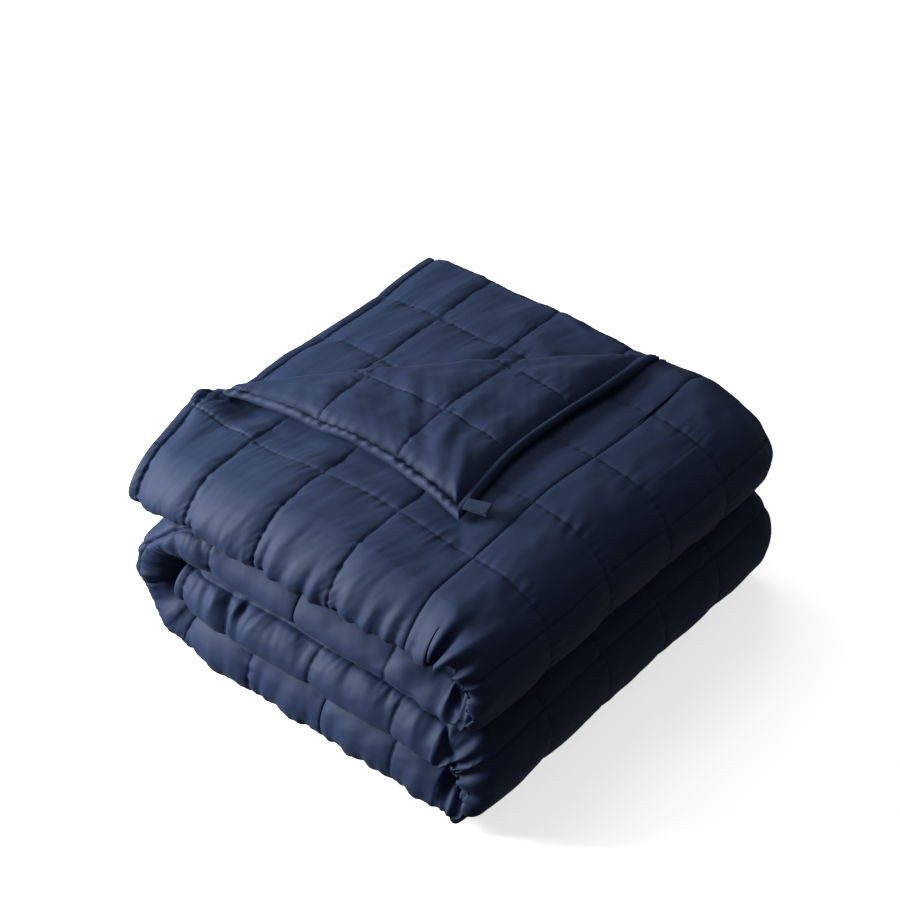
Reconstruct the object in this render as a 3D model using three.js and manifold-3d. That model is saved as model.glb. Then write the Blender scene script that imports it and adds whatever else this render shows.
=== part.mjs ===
// A quilted weighted blanket, folded in thirds and then in four, with one corner turned back,
// and the tape loop sewn into that corner.
// Millimetres, +Z up. The origin lies on the resting surface, under the middle of the stack.
// The rolled edges of the thirds face -Y. The two round bends of the four runs face +X.

import * as THREE from 'three';
import { mergeVertices } from 'three/addons/utils/BufferGeometryUtils.js';
import Module from 'manifold-3d';

const wasm = await Module();
wasm.setup();

// ---- Driving dimensions -------------------------------------------------------------------

// Air between two thicknesses of cloth inside a run, and between two runs.
const SLIT = 2;
const RUN_GAP = 1.5;

// Half the thickness of each run, which is three thicknesses of cloth.
const HALF = { top: 34.5, second: 28.5, third: 29.5, bottom: 36 };

// Ends of the straight stretches along X.
const TOP_HEM_X = -242;
const UPPER_BEND_X = 179;
const WRAP_X = -155;
const LOWER_BEND_X = 182;
const TUCKED_HEM_X = -176;

// How far the top third's own hem stands in from the back fold.
const TOP_THIRD_INSET = 36;

// Width of the thinned edge at the two hems that end the run, and its share of the full thickness.
const HEM_WIDTH = 12;
const HEM_SHARE = 0.5;

// The turned-back corner. leg is the side of its triangle, gap the air under it, and root how far
// it runs into the cloth it grows from. throat is where that air begins, inset keeps the two ends
// off the hems, and ridge is how round the crease stands, as a share of its height.
const CORNER = {
  leg: 348,
  thickness: 15,
  hemThickness: 8,
  gap: 2,
  root: 8,
  rootSink: 4,
  rootRise: 3,
  throat: 1,
  throatLip: 0.3,
  footLift: 0.5,
  minReach: 9,
  inset: 3,
  ridge: 0.8,
};

// The tape loop: length out of the hem, width, tape thickness, air inside the loop, its height over
// the cloth below, how far back from the tip it starts, and its turn towards +Y.
const TAB = { length: 21, width: 16, tape: 1.2, air: 1.4, lift: 2, fromTip: 8, turn: 0.24 };
const TOUCH_GAP = 0.3;

// Section of the fold at places along the run. leg counts the stretches: 0 top run, 1 upper bend,
// 2 second run, 3 wrap, 4 bottom run, 5 lower bend, 6 third run, 7 its end. roll is how far the
// rolled edge rounds over in Y, and crown how far the outer face of the top third swells.
const SECTIONS = [
  { leg: 0.0, half: HALF.top, front: -252, back: 258, roll: 34, crown: -6 },
  { leg: 0.3, half: HALF.top, front: -259, back: 259, roll: 34, crown: 6 },
  { leg: 0.85, half: HALF.top, front: -261, back: 260, roll: 33, crown: 8 },
  { leg: 1.0, half: 30.5, front: -260, back: 260, roll: 27, crown: 8 },
  { leg: 1.5, half: 30.5, front: -258, back: 261, roll: 24, crown: 6 },
  { leg: 2.0, half: HALF.second, front: -252, back: 260, roll: 26, crown: 0 },
  { leg: 2.5, half: HALF.second, front: -250, back: 258, roll: 28, crown: 0 },
  { leg: 3.0, half: 28, front: -250, back: 255, roll: 28, crown: 0 },
  { leg: 3.5, half: 27, front: -248, back: 253, roll: 26, crown: 0 },
  { leg: 4.0, half: 31, front: -252, back: 255, roll: 30, crown: 0 },
  { leg: 4.15, half: HALF.bottom, front: -255, back: 257, roll: 32, crown: 0 },
  { leg: 4.9, half: HALF.bottom, front: -259, back: 260, roll: 32, crown: 0 },
  { leg: 5.0, half: 31.8, front: -259, back: 261, roll: 27, crown: 0 },
  { leg: 5.5, half: 31.5, front: -258, back: 261, roll: 24, crown: 0 },
  { leg: 6.0, half: HALF.third, front: -259, back: 259, roll: 28, crown: 0 },
  { leg: 6.5, half: HALF.third, front: -261, back: 256, roll: 29, crown: 0 },
  { leg: 7.0, half: HALF.third, front: -256, back: 252, roll: 29, crown: 0 },
];

// Steps along each stretch of the run, round the section, and over the turned-back corner.
const STEPS = { top: 8, bend: 8, wrap: 8, inner: 4, bottom: 6 };
const SECTION_STEPS = {
  topFace: 5,
  face: 3,
  outerRoll: 6,
  innerRoll: 3,
  outerFold: 4,
  innerFold: 2,
  hem: 2,
};
const CORNER_STEPS = { along: 10, across: 4, ridge: 5 };

// How sharply the crown falls away towards the two edges, and the height of the cutting wedge.
const CROWN_POWER = 4;
const WEDGE = { margin: 60, height: 80 };
const MERGE = 1e-4;
const TAPE_CURVE_STEPS = 6;

// ---- Heights that follow from the thicknesses ----------------------------------------------

const Z_BOTTOM = HALF.bottom;
const Z_THIRD = Z_BOTTOM + HALF.bottom + RUN_GAP + HALF.third;
const Z_SECOND = Z_THIRD + HALF.third + RUN_GAP + HALF.second;
const Z_TOP = Z_SECOND + HALF.second + RUN_GAP + HALF.top;
const TOP_CLOTH = clothThickness(HALF.top);

function clothThickness(half) {
  return (2 * half - 2 * SLIT) / 3;
}

// ---- Section along the run -----------------------------------------------------------------

function sectionAt(leg) {
  let upper = SECTIONS.findIndex((row) => row.leg >= leg);
  upper = Math.max(upper, 1);
  const before = SECTIONS[upper - 1];
  const after = SECTIONS[upper];
  const share = THREE.MathUtils.smoothstep(leg, before.leg, after.leg);
  const mix = (column) => THREE.MathUtils.lerp(before[column], after[column], share);
  return {
    half: mix('half'),
    front: mix('front'),
    back: mix('back'),
    roll: mix('roll'),
    crown: mix('crown'),
  };
}

// Rise of the top face above its flat height: full in the middle, nothing at the two edges.
function crownShare(y, front, back) {
  const middle = (front + back) / 2;
  const reach = (back - front) / 2;
  const away = Math.min(Math.abs(y - middle) / reach, 1);
  return 1 - away ** CROWN_POWER;
}

// Height of the top face of the stack.
function topHeight(x, y) {
  const leg = THREE.MathUtils.clamp((x - TOP_HEM_X) / (UPPER_BEND_X - TOP_HEM_X), 0, 1);
  const section = sectionAt(leg);
  return Z_TOP + section.half + section.crown * crownShare(y, section.front, section.back);
}

// ---- Outline of the three thicknesses, a spiral in the Y and normal directions ---------------

function lineOf(from, to, n, steps) {
  return Array.from({ length: steps }, (_, i) => [from + ((to - from) * i) / steps, n]);
}

function arcOf(y, n, reachY, reachN, startAngle, endAngle, steps) {
  return Array.from({ length: steps }, (_, i) => {
    const angle = startAngle + ((endAngle - startAngle) * i) / steps;
    return [y + reachY * Math.cos(angle), n + reachN * Math.sin(angle)];
  });
}

function spiralOutline(section, share) {
  const { half, front, back, roll, crown } = section;
  const cloth = clothThickness(half);
  const e = (cloth * share) / 2;
  const centre = half - cloth / 2;
  const frontY = front + roll;
  const rollMiddle = roll - cloth / 2;
  const backRadius = centre / 2;
  const backY = back - backRadius - cloth / 2;
  const innerHemY = frontY + cloth / 2 + SLIT;
  const outerHemY = back - TOP_THIRD_INSET - e;
  const up = Math.PI / 2;
  const n = SECTION_STEPS;
  const raise = ([y, height]) => [y, height + crown * crownShare(y, front, back)];
  const outerRoll = arcOf(frontY, 0, rollMiddle + e, centre + e, up, 3 * up, n.outerRoll);
  return [
    ...lineOf(outerHemY, frontY, centre + e, n.topFace).map(raise),
    raise(outerRoll[0]),
    ...outerRoll.slice(1),
    ...lineOf(frontY, backY, -centre - e, n.face),
    ...arcOf(backY, -backRadius, backRadius + e, backRadius + e, -up, up, n.outerFold),
    ...lineOf(backY, innerHemY, e, n.face),
    ...arcOf(innerHemY, 0, e, e, up, 3 * up, n.hem),
    ...lineOf(innerHemY, backY, -e, n.face),
    ...arcOf(backY, -backRadius, backRadius - e, backRadius - e, up, -up, n.innerFold),
    ...lineOf(backY, frontY, -centre + e, n.face),
    ...arcOf(frontY, 0, rollMiddle - e, centre - e, 3 * up, up, n.innerRoll),
    ...lineOf(frontY, outerHemY, centre - e, n.face),
    ...arcOf(outerHemY, centre, e, e, -up, up, n.hem),
  ];
}

// ---- Path of the run in X and Z --------------------------------------------------------------

function straight(leg, fromX, toX, z, heading, steps) {
  return Array.from({ length: steps }, (_, i) => {
    const share = i / steps;
    return { leg: leg + share, x: fromX + (toX - fromX) * share, z, heading };
  });
}

function bend(leg, x, fromZ, toZ, startHeading, turn, steps) {
  const radius = Math.abs(toZ - fromZ) / 2;
  const side = Math.sign(turn);
  return Array.from({ length: steps }, (_, i) => {
    const share = i / steps;
    const heading = startHeading + turn * share;
    return {
      leg: leg + share,
      x: x + side * radius * Math.sin(heading),
      z: (fromZ + toZ) / 2 - side * radius * Math.cos(heading),
      heading,
    };
  });
}

function foldPath() {
  const half = Math.PI;
  const path = [
    ...straight(0, TOP_HEM_X, UPPER_BEND_X, Z_TOP, 0, STEPS.top),
    ...bend(1, UPPER_BEND_X, Z_TOP, Z_SECOND, 0, -half, STEPS.bend),
    ...straight(2, UPPER_BEND_X, WRAP_X, Z_SECOND, -half, STEPS.inner),
    ...bend(3, WRAP_X, Z_SECOND, Z_BOTTOM, -half, half, STEPS.wrap),
    ...straight(4, WRAP_X, LOWER_BEND_X, Z_BOTTOM, 0, STEPS.bottom),
    ...bend(5, LOWER_BEND_X, Z_BOTTOM, Z_THIRD, 0, half, STEPS.bend),
    ...straight(6, LOWER_BEND_X, TUCKED_HEM_X, Z_THIRD, half, STEPS.inner),
    { leg: 7, x: TUCKED_HEM_X, z: Z_THIRD, heading: half },
  ];
  const hemStart = { ...path[0], x: TOP_HEM_X + HEM_WIDTH, leg: 0 };
  const hemEnd = { ...path.at(-1), x: TUCKED_HEM_X + HEM_WIDTH, leg: 7 };
  path.splice(1, 0, hemStart);
  path.splice(path.length - 1, 0, hemEnd);
  return path;
}

// ---- Closed mesh through equal rings, and its solid ------------------------------------------

function closedThroughRings(rings, outline) {
  const count = rings[0].length;
  const index = [];
  for (let i = 0; i < rings.length - 1; i += 1) {
    for (let j = 0; j < count; j += 1) {
      const a = i * count + j;
      const b = i * count + ((j + 1) % count);
      index.push(a, b, b + count, a, b + count, a + count);
    }
  }
  const last = (rings.length - 1) * count;
  const capOf = (ring) => {
    const contour = outline(ring);
    const faces = THREE.ShapeUtils.triangulateShape(contour, []);
    return THREE.ShapeUtils.isClockWise(contour) ? faces.map(([a, b, c]) => [a, c, b]) : faces;
  };
  for (const [a, b, c] of capOf(0)) index.push(a, c, b);
  for (const [a, b, c] of capOf(rings.length - 1)) index.push(last + a, last + b, last + c);
  const geometry = new THREE.BufferGeometry();
  geometry.setAttribute('position', new THREE.Float32BufferAttribute(rings.flat(2), 3));
  geometry.setIndex(index);
  return geometry;
}

function signedVolume(geometry) {
  const place = geometry.getAttribute('position');
  const index = geometry.getIndex();
  const corner = [new THREE.Vector3(), new THREE.Vector3(), new THREE.Vector3()];
  let total = 0;
  for (let i = 0; i < index.count; i += 3) {
    corner.forEach((point, k) => point.fromBufferAttribute(place, index.getX(i + k)));
    total += corner[0].dot(corner[1].cross(corner[2])) / 6;
  }
  return total;
}

function solidOf(source) {
  const geometry = mergeVertices(source, MERGE);
  const triangles = Array.from(geometry.getIndex().array);
  if (signedVolume(geometry) < 0) {
    for (let i = 0; i < triangles.length; i += 3) {
      [triangles[i], triangles[i + 1]] = [triangles[i + 1], triangles[i]];
    }
  }
  const mesh = new wasm.Mesh({
    numProp: 3,
    vertProperties: new Float32Array(geometry.getAttribute('position').array),
    triVerts: new Uint32Array(triangles),
  });
  return new wasm.Manifold(mesh);
}

function geometryOf(solid) {
  const mesh = solid.getMesh();
  const geometry = new THREE.BufferGeometry();
  geometry.setAttribute('position', new THREE.BufferAttribute(mesh.vertProperties, 3));
  geometry.setIndex(new THREE.BufferAttribute(mesh.triVerts, 1));
  return geometry;
}

// ---- The folded run ----------------------------------------------------------------------------

function foldedRun() {
  const path = foldPath();
  const outlines = path.map((station, i) => {
    const isEnd = i === 0 || i === path.length - 1;
    return spiralOutline(sectionAt(station.leg), isEnd ? HEM_SHARE : 1);
  });
  const rings = path.map((station, i) => outlines[i].map(([y, n]) => [
    station.x - n * Math.sin(station.heading),
    y,
    station.z + n * Math.cos(station.heading),
  ]));
  const outline = (i) => outlines[i].map(([y, n]) => new THREE.Vector2(y, n));
  return solidOf(closedThroughRings(rings, outline));
}

// ---- The turned-back corner --------------------------------------------------------------------

const OUTER_HEM_Y = sectionAt(0).back - TOP_THIRD_INSET;
const CREASE_START = new THREE.Vector2(TOP_HEM_X, OUTER_HEM_Y - CORNER.leg);
const CREASE_LENGTH = CORNER.leg * Math.SQRT2;
const ALONG = new THREE.Vector2(Math.SQRT1_2, Math.SQRT1_2);
const ACROSS = new THREE.Vector2(Math.SQRT1_2, -Math.SQRT1_2);
const SLIT_Z = Z_TOP + TOP_CLOTH / 2 + SLIT / 2;

function creasePoint(along, across) {
  return CREASE_START.clone().addScaledVector(ALONG, along).addScaledVector(ACROSS, across);
}

// The part of the top third that lies beyond the crease, down to the slit under it.
function cornerTakenAway() {
  const from = -WEDGE.margin;
  const to = CREASE_LENGTH + WEDGE.margin;
  const shape = new THREE.Shape([
    creasePoint(from, 0),
    creasePoint(to, 0),
    creasePoint(to, -CREASE_LENGTH),
    creasePoint(from, -CREASE_LENGTH),
  ]);
  const geometry = new THREE.ExtrudeGeometry(shape, { depth: WEDGE.height, bevelEnabled: false });
  geometry.translate(0, 0, SLIT_Z);
  geometry.deleteAttribute('normal');
  geometry.deleteAttribute('uv');
  return solidOf(geometry);
}

// How far the corner reaches over the stack, at a distance along the crease.
function cornerReach(along) {
  return Math.max(Math.min(along, CREASE_LENGTH - along), CORNER.minReach);
}

// Section of the turned-back corner across the crease, as pairs of distance across and height.
function cornerSection(along) {
  const reach = cornerReach(along);
  const top = (across) => topHeight(creasePoint(along, across).x, creasePoint(along, across).y);
  const thickness = (across) => {
    const share = THREE.MathUtils.clamp((reach - across) / (2 * HEM_WIDTH), 0, 1);
    return THREE.MathUtils.lerp(CORNER.hemThickness, CORNER.thickness, share);
  };
  const edge = CORNER.hemThickness / 2;
  const body = reach - edge;
  const lowZ = SLIT_Z + SLIT / 2 + CORNER.footLift;
  const highZ = top(0) + CORNER.gap + CORNER.thickness;
  const rise = (highZ - lowZ) / 2;
  const up = Math.PI / 2;
  const steps = CORNER_STEPS.across;
  const places = Array.from({ length: steps + 1 }, (_, i) => i / steps);
  return [
    ...arcOf(0, (highZ + lowZ) / 2, rise * CORNER.ridge, rise, -up, -3 * up, CORNER_STEPS.ridge),
    ...places.map((share) => [body * share, top(body * share) + CORNER.gap + thickness(body * share)]),
    [reach, top(reach) + CORNER.gap + edge],
    ...places.map((share) => {
      const across = THREE.MathUtils.lerp(body, CORNER.throat, share);
      return [across, top(across) + CORNER.gap];
    }),
    [CORNER.throatLip, top(0) + CORNER.gap / 2],
    [CORNER.root, top(CORNER.root) - CORNER.rootSink],
    [CORNER.root, lowZ + CORNER.rootRise],
  ];
}

function turnedCorner() {
  const span = CREASE_LENGTH - 2 * CORNER.inset;
  const places = Array.from({ length: CORNER_STEPS.along + 1 }, (_, i) => {
    return CORNER.inset + (span * i) / CORNER_STEPS.along;
  });
  const sections = places.map(cornerSection);
  const rings = sections.map((section, i) => section.map(([across, z]) => {
    const point = creasePoint(places[i], across);
    return [point.x, point.y, z];
  }));
  const outline = (i) => sections[i].map(([across, z]) => new THREE.Vector2(across, z));
  return solidOf(closedThroughRings(rings, outline));
}

// ---- The tape loop -----------------------------------------------------------------------------

function tapeLoop() {
  const { length, width, tape, air } = TAB;
  const outer = tape + air / 2;
  const shape = new THREE.Shape();
  shape.moveTo(0, -outer);
  shape.lineTo(length - outer, -outer);
  shape.absarc(length - outer, 0, outer, -Math.PI / 2, Math.PI / 2, false);
  shape.lineTo(0, outer);
  shape.lineTo(0, air / 2);
  shape.lineTo(length - outer, air / 2);
  shape.absarc(length - outer, 0, air / 2, Math.PI / 2, -Math.PI / 2, true);
  shape.lineTo(0, -air / 2);
  const geometry = new THREE.ExtrudeGeometry(shape, {
    depth: width, bevelEnabled: false, curveSegments: TAPE_CURVE_STEPS,
  });
  geometry.rotateX(Math.PI / 2);
  geometry.translate(0, width / 2, 0);
  return geometry;
}

// ---- Scene graph -------------------------------------------------------------------------------

const cloth = new THREE.MeshStandardMaterial({ color: 0x1c2c4c, roughness: 0.62, metalness: 0 });
cloth.name = 'navy_cloth';
const tape = new THREE.MeshStandardMaterial({ color: 0x1a2947, roughness: 0.7, metalness: 0 });
tape.name = 'navy_tape';

const body = foldedRun().subtract(cornerTakenAway()).add(turnedCorner());
const blanket = new THREE.Mesh(geometryOf(body), cloth);
blanket.name = 'blanket';

const tipX = TOP_HEM_X + CORNER.leg;
const tabY = OUTER_HEM_Y - CORNER.leg + TAB.fromTip + TAB.width / 2;
const tabSwing = (TAB.width / 2) * Math.sin(TAB.turn);
const cornerTab = new THREE.Mesh(tapeLoop(), tape);
cornerTab.name = 'corner_tab';
cornerTab.position.set(
  tipX + TOUCH_GAP + tabSwing,
  tabY,
  topHeight(tipX, tabY) + TAB.lift + TAB.tape + TAB.air / 2,
);
cornerTab.rotation.z = TAB.turn;

// The stack is moved so that the origin is exactly under the middle of its box.
const part = new THREE.Group();
part.add(blanket, cornerTab);
const box = new THREE.Box3().setFromObject(part);
const middle = box.getCenter(new THREE.Vector3());
part.position.set(-middle.x, -middle.y, -box.min.z);

export default part;
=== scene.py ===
"""A quilted weighted blanket, folded in thirds and then in four, with one corner turned back.

Sizes in the tables are millimetres, and meshes are made in metres. The folded run is a strip of
three thirds: the outer third, the base third and the third tucked between them. The rolled edge
that joins the outer and base thirds faces -Y, and the two round bends of the run face +X.
"""

import logging
import math
from dataclasses import dataclass
from enum import Enum

import bmesh
import bpy
import numpy as np
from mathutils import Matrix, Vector
from mathutils.geometry import tessellate_polygon


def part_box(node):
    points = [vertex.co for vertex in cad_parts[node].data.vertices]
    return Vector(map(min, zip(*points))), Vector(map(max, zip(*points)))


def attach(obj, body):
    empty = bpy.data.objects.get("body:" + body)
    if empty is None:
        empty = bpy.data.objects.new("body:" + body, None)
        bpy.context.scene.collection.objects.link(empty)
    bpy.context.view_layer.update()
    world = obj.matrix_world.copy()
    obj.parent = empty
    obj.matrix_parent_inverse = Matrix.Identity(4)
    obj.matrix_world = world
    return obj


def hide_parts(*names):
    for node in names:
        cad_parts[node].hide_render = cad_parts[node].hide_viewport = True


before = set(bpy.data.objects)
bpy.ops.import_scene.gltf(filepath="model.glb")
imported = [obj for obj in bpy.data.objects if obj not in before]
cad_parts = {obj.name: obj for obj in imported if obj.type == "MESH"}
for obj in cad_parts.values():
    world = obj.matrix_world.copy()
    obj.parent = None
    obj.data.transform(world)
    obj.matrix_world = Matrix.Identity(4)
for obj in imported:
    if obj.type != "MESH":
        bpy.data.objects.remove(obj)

MM = 0.001
SAME_PLACE = 1e-7
LOG = logging.getLogger("blanket")

# ---- Driving sizes of the folded run ------------------------------------------------------

SLIT = 2.0
RUN_GAP = 1.5
TOP_HALF, SECOND_HALF, THIRD_HALF, BOTTOM_HALF = 34.5, 28.5, 29.5, 36.0
TOP_HEM_X, UPPER_BEND_X, WRAP_X = -242.0, 179.0, -155.0
LOWER_BEND_X, TUCKED_HEM_X = 182.0, -176.0
CENTRE_SHIFT = 0.9

Z_BOTTOM = BOTTOM_HALF
Z_THIRD = Z_BOTTOM + BOTTOM_HALF + RUN_GAP + THIRD_HALF
Z_SECOND = Z_THIRD + THIRD_HALF + RUN_GAP + SECOND_HALF
Z_TOP = Z_SECOND + SECOND_HALF + RUN_GAP + TOP_HALF
HALF_WIDTH = 250.0

# Seams that run along the strip, by their distance across it, and how far the hem stitch stands in.
LONG_SEAMS = (140.0, 42.0, -55.0, -153.0)
HEM_STITCH = 12.0
HEM_INSET, HEM_INSET_AT_CORNER = 22.0, 34.0
TUCKED_SEAM_SHIFT, BASE_SEAM_SHIFT = 4.0, 6.0
TUCKED_HEM_INSET = 34.0

# The hems: how far the outer one drops and how softly, and the share of the cloth left in an end one.
HEM_DROP, HEM_DROP_REACH = 8.0, 14.0
END_HEM_SHARE, END_HEM_GROWTH, END_HEM_EDGE = 0.72, 20.0, 5.0
STITCH_PINCH, STITCH_PINCH_REACH = 0.10, 1.8

# The bare part of the tucked third ends at this x and swells. The corner presses the top under it.
TOP_BARE_X, BARE_SWELL, PRESSED = 104.0, 7.0, 6.5

# Thin lips run in waves this long, in places along the strip, this deep, and this high in a section.
LIP_WAVE, LIP_WAVE_DEPTH, LIP_WAVE_HEIGHT = 0.125, 3.0, 0.11

# How the squares, seams and ripples stand, in millimetres: extra swell beside the rolled edge, the
# groove of a seam, the trough of the gathered seam, and the wander of every seam.
ROLL_SWELL, ROLL_SWELL_REACH = 0.9, 75.0
GROOVE_DEPTH, GROOVE_WIDTH = 0.9, 1.4
PINCH_DEPTH, PINCH_WIDTH = 3.6, 4.0
SEAM_WAVE, SEAM_WAVE_LENGTH, SEAM_WAVE_SEED = 1.5, 190.0, 7
CREASE_BOW = 0.0012
RIPPLE_WAVES = 9

# How evenly rows and columns of the grid stand between two seams, from 0 to 1.
ROW_CROWDING, COLUMN_CROWDING, CORNER_CROWDING = 0.75, 0.35, 0.5


class Third(Enum):
    """The third of the folded strip that shows on the outside of a piece."""

    OUTER = "outer"
    BASE = "base"


class Band(Enum):
    """Stretches of the section's outline, in order round it."""

    OUTER_FACE = 0
    FRONT_ROLL = 1
    BASE_FACE = 2
    BACK_FOLD = 3
    TUCKED_FACE = 4
    TUCKED_HEM = 5
    TUCKED_UNDER = 6
    INNER_FOLD = 7
    BASE_INSIDE = 8
    INNER_ROLL = 9
    OUTER_INSIDE = 10
    OUTER_HEM = 11


def top_leg(x: float) -> float:
    """Place along the strip of a point of the top run, from its x."""
    return (x - TOP_HEM_X) / (UPPER_BEND_X - TOP_HEM_X)


def second_leg(x: float) -> float:
    """Place along the strip of a point of the second run, from its x."""
    return 2 + (UPPER_BEND_X - x) / (UPPER_BEND_X - WRAP_X)


def bottom_leg(x: float) -> float:
    """Place along the strip of a point of the bottom run, from its x."""
    return 4 + (x - WRAP_X) / (LOWER_BEND_X - WRAP_X)


def third_leg(x: float) -> float:
    """Place along the strip of a point of the third run, from its x."""
    return 6 + (LOWER_BEND_X - x) / (LOWER_BEND_X - TUCKED_HEM_X)


# ---- Tables ---------------------------------------------------------------------------------


@dataclass(frozen=True)
class SectionRow:
    """Section of the strip at one place along it, in millimetres.

    bulge and pinch are heights in the section, from -1 on the base third to 1 on the outer third:
    where the rolled edge stands out most, and where its gathered seam lies. outer_roll and
    base_roll are how far the edge draws in above and below the bulge. hollow, from 0 to 1, makes
    the edge a thin lip with a cavity behind it. swell is how far the squares stand out, and
    gathered is the share of the small gathers. The outer face stands crown above its flat height
    in the middle, and drop lower than that at the two edges.
    """

    leg: float
    half: float
    front: float
    back: float
    bulge: float
    pinch: float
    outer_roll: float
    base_roll: float
    hollow: float
    swell: float
    gathered: float
    crown: float
    drop: float


SECTIONS = (
    SectionRow(0.00, TOP_HALF, -254, 258, -0.30, -0.85, 46, 24, 0.0, 2.4, 0.3, -17, 10),
    SectionRow(0.10, TOP_HALF, -257, 258, -0.30, -0.88, 48, 25, 0.0, 3.0, 0.4, -8, 13),
    SectionRow(0.23, TOP_HALF, -259, 258, -0.25, -0.90, 50, 28, 0.0, 3.4, 0.6, 1.4, 15.6),
    SectionRow(0.46, TOP_HALF, -261, 258, -0.32, -0.90, 54, 26, 0.0, 3.4, 1.0, 10.4, 15.6),
    SectionRow(0.69, TOP_HALF, -262, 256, -0.32, -0.90, 54, 26, 0.0, 3.2, 1.1, 10.4, 15.6),
    SectionRow(0.90, 33.0, -261, 254, -0.40, -0.82, 52, 34, 0.3, 2.8, 1.0, 5, 14),
    SectionRow(1.10, 30.5, -260, 256, -0.20, -0.34, 38, 60, 0.8, 2.6, 0.9, 4, 12),
    SectionRow(1.30, 30.5, -259, 259, 0.15, 0.12, 26, 78, 1.0, 2.4, 0.4, 5, 8),
    SectionRow(1.50, 30.5, -259, 261, 0.42, 0.42, 16, 84, 1.0, 2.4, 0.35, 6, 6),
    SectionRow(1.66, 30.5, -259, 261, 0.68, 0.68, 11, 84, 1.0, 2.4, 0.3, 6, 6),
    SectionRow(1.80, 29.5, -254, 261, 0.74, 0.60, 10, 80, 0.9, 2.2, 0.5, 3, 4),
    SectionRow(2.00, SECOND_HALF, -246, 260, 0.66, -0.30, 14, 66, 0.4, 2.2, 0.3, 0, 0),
    SectionRow(2.20, SECOND_HALF, -248, 259, 0.50, -0.85, 18, 56, 0.1, 2.6, 0.2, 0, 0),
    SectionRow(2.80, SECOND_HALF, -246, 257, 0.35, -0.88, 22, 50, 0.0, 2.6, 0.2, 0, 0),
    SectionRow(3.00, 28.0, -250, 255, 0.15, -0.75, 30, 34, 0.1, 2.6, 0.5, 0, 0),
    SectionRow(3.25, 27.0, -252, 254, -0.36, -0.60, 46, 20, 0.25, 2.6, 0.6, 0, 0),
    SectionRow(3.55, 27.0, -252, 253, -0.42, -0.66, 50, 18, 0.30, 2.6, 0.6, 0, 0),
    SectionRow(3.85, 29.0, -252, 254, -0.32, -0.80, 42, 20, 0.15, 2.6, 0.6, 0, 0),
    SectionRow(4.00, 31.0, -252, 255, -0.20, -0.88, 38, 22, 0.0, 2.8, 0.8, 0, 0),
    SectionRow(4.15, BOTTOM_HALF, -255, 257, -0.20, -0.90, 38, 22, 0.0, 2.8, 0.9, 0, 0),
    SectionRow(4.88, BOTTOM_HALF, -259, 259, -0.20, -0.90, 38, 22, 0.0, 2.8, 0.9, 0, 0),
    SectionRow(5.00, 31.8, -259, 261, -0.45, -0.85, 48, 18, 0.2, 2.4, 0.8, 0, 0),
    SectionRow(5.20, 31.5, -259, 261, -0.66, -0.66, 72, 11, 0.9, 2.2, 0.35, 0, 0),
    SectionRow(5.42, 31.5, -259, 261, -0.30, -0.30, 80, 18, 1.0, 2.2, 0.35, 0, 0),
    SectionRow(5.64, 31.5, -259, 261, 0.05, 0.02, 70, 30, 1.0, 2.2, 0.35, 0, 0),
    SectionRow(5.86, 30.5, -259, 260, 0.42, -0.20, 30, 44, 0.6, 2.4, 0.8, 0, 0),
    SectionRow(6.02, THIRD_HALF, -260, 259, 0.42, -0.80, 24, 46, 0.1, 2.8, 1.0, 0, 0),
    SectionRow(6.20, THIRD_HALF, -260, 259, 0.38, -0.86, 25, 44, 0.0, 3.0, 1.0, 0, 0),
    SectionRow(6.60, THIRD_HALF, -261, 256, 0.38, -0.86, 25, 44, 0.0, 3.0, 1.2, 0, 0),
    SectionRow(7.00, THIRD_HALF, -256, 252, 0.20, -0.86, 28, 36, 0.0, 2.6, 1.0, 0, 0),
)


@dataclass(frozen=True)
class Settling:
    """A soft push on the cloth round one place, with its reach and its push, in millimetres."""

    x: float
    y: float
    z: float
    reach: float
    dx: float
    dy: float
    dz: float


SETTLINGS = (
    Settling(-236, 236, 235, 55, -2, 5, 6),
    Settling(-110, 250, 240, 70, 0, 5, 4),
    Settling(190, 262, 205, 45, 0, -4, -8),
    Settling(-150, 120, 240, 80, 0, 0, 5),
    Settling(232, 225, 189, 60, 4, 3, 0),
    Settling(215, -225, 132, 34, 4, -2, -5),
    Settling(-240, -168, 244, 30, -2, 0, 6),
    Settling(-242, -130, 248, 23, -1, 0, 24),
    Settling(128, 228, 250, 34, 0, 2, 11),
    Settling(168, 228, 248, 36, 0, 2, 5),
    Settling(-236, -244, 188, 34, 6, 0, -16),
)


@dataclass(frozen=True)
class Gather:
    """A fold that rises from the gathered seam, or a trough if its height is negative."""

    leg: float
    height: float
    width: float
    reach: float
    lean: float


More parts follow.
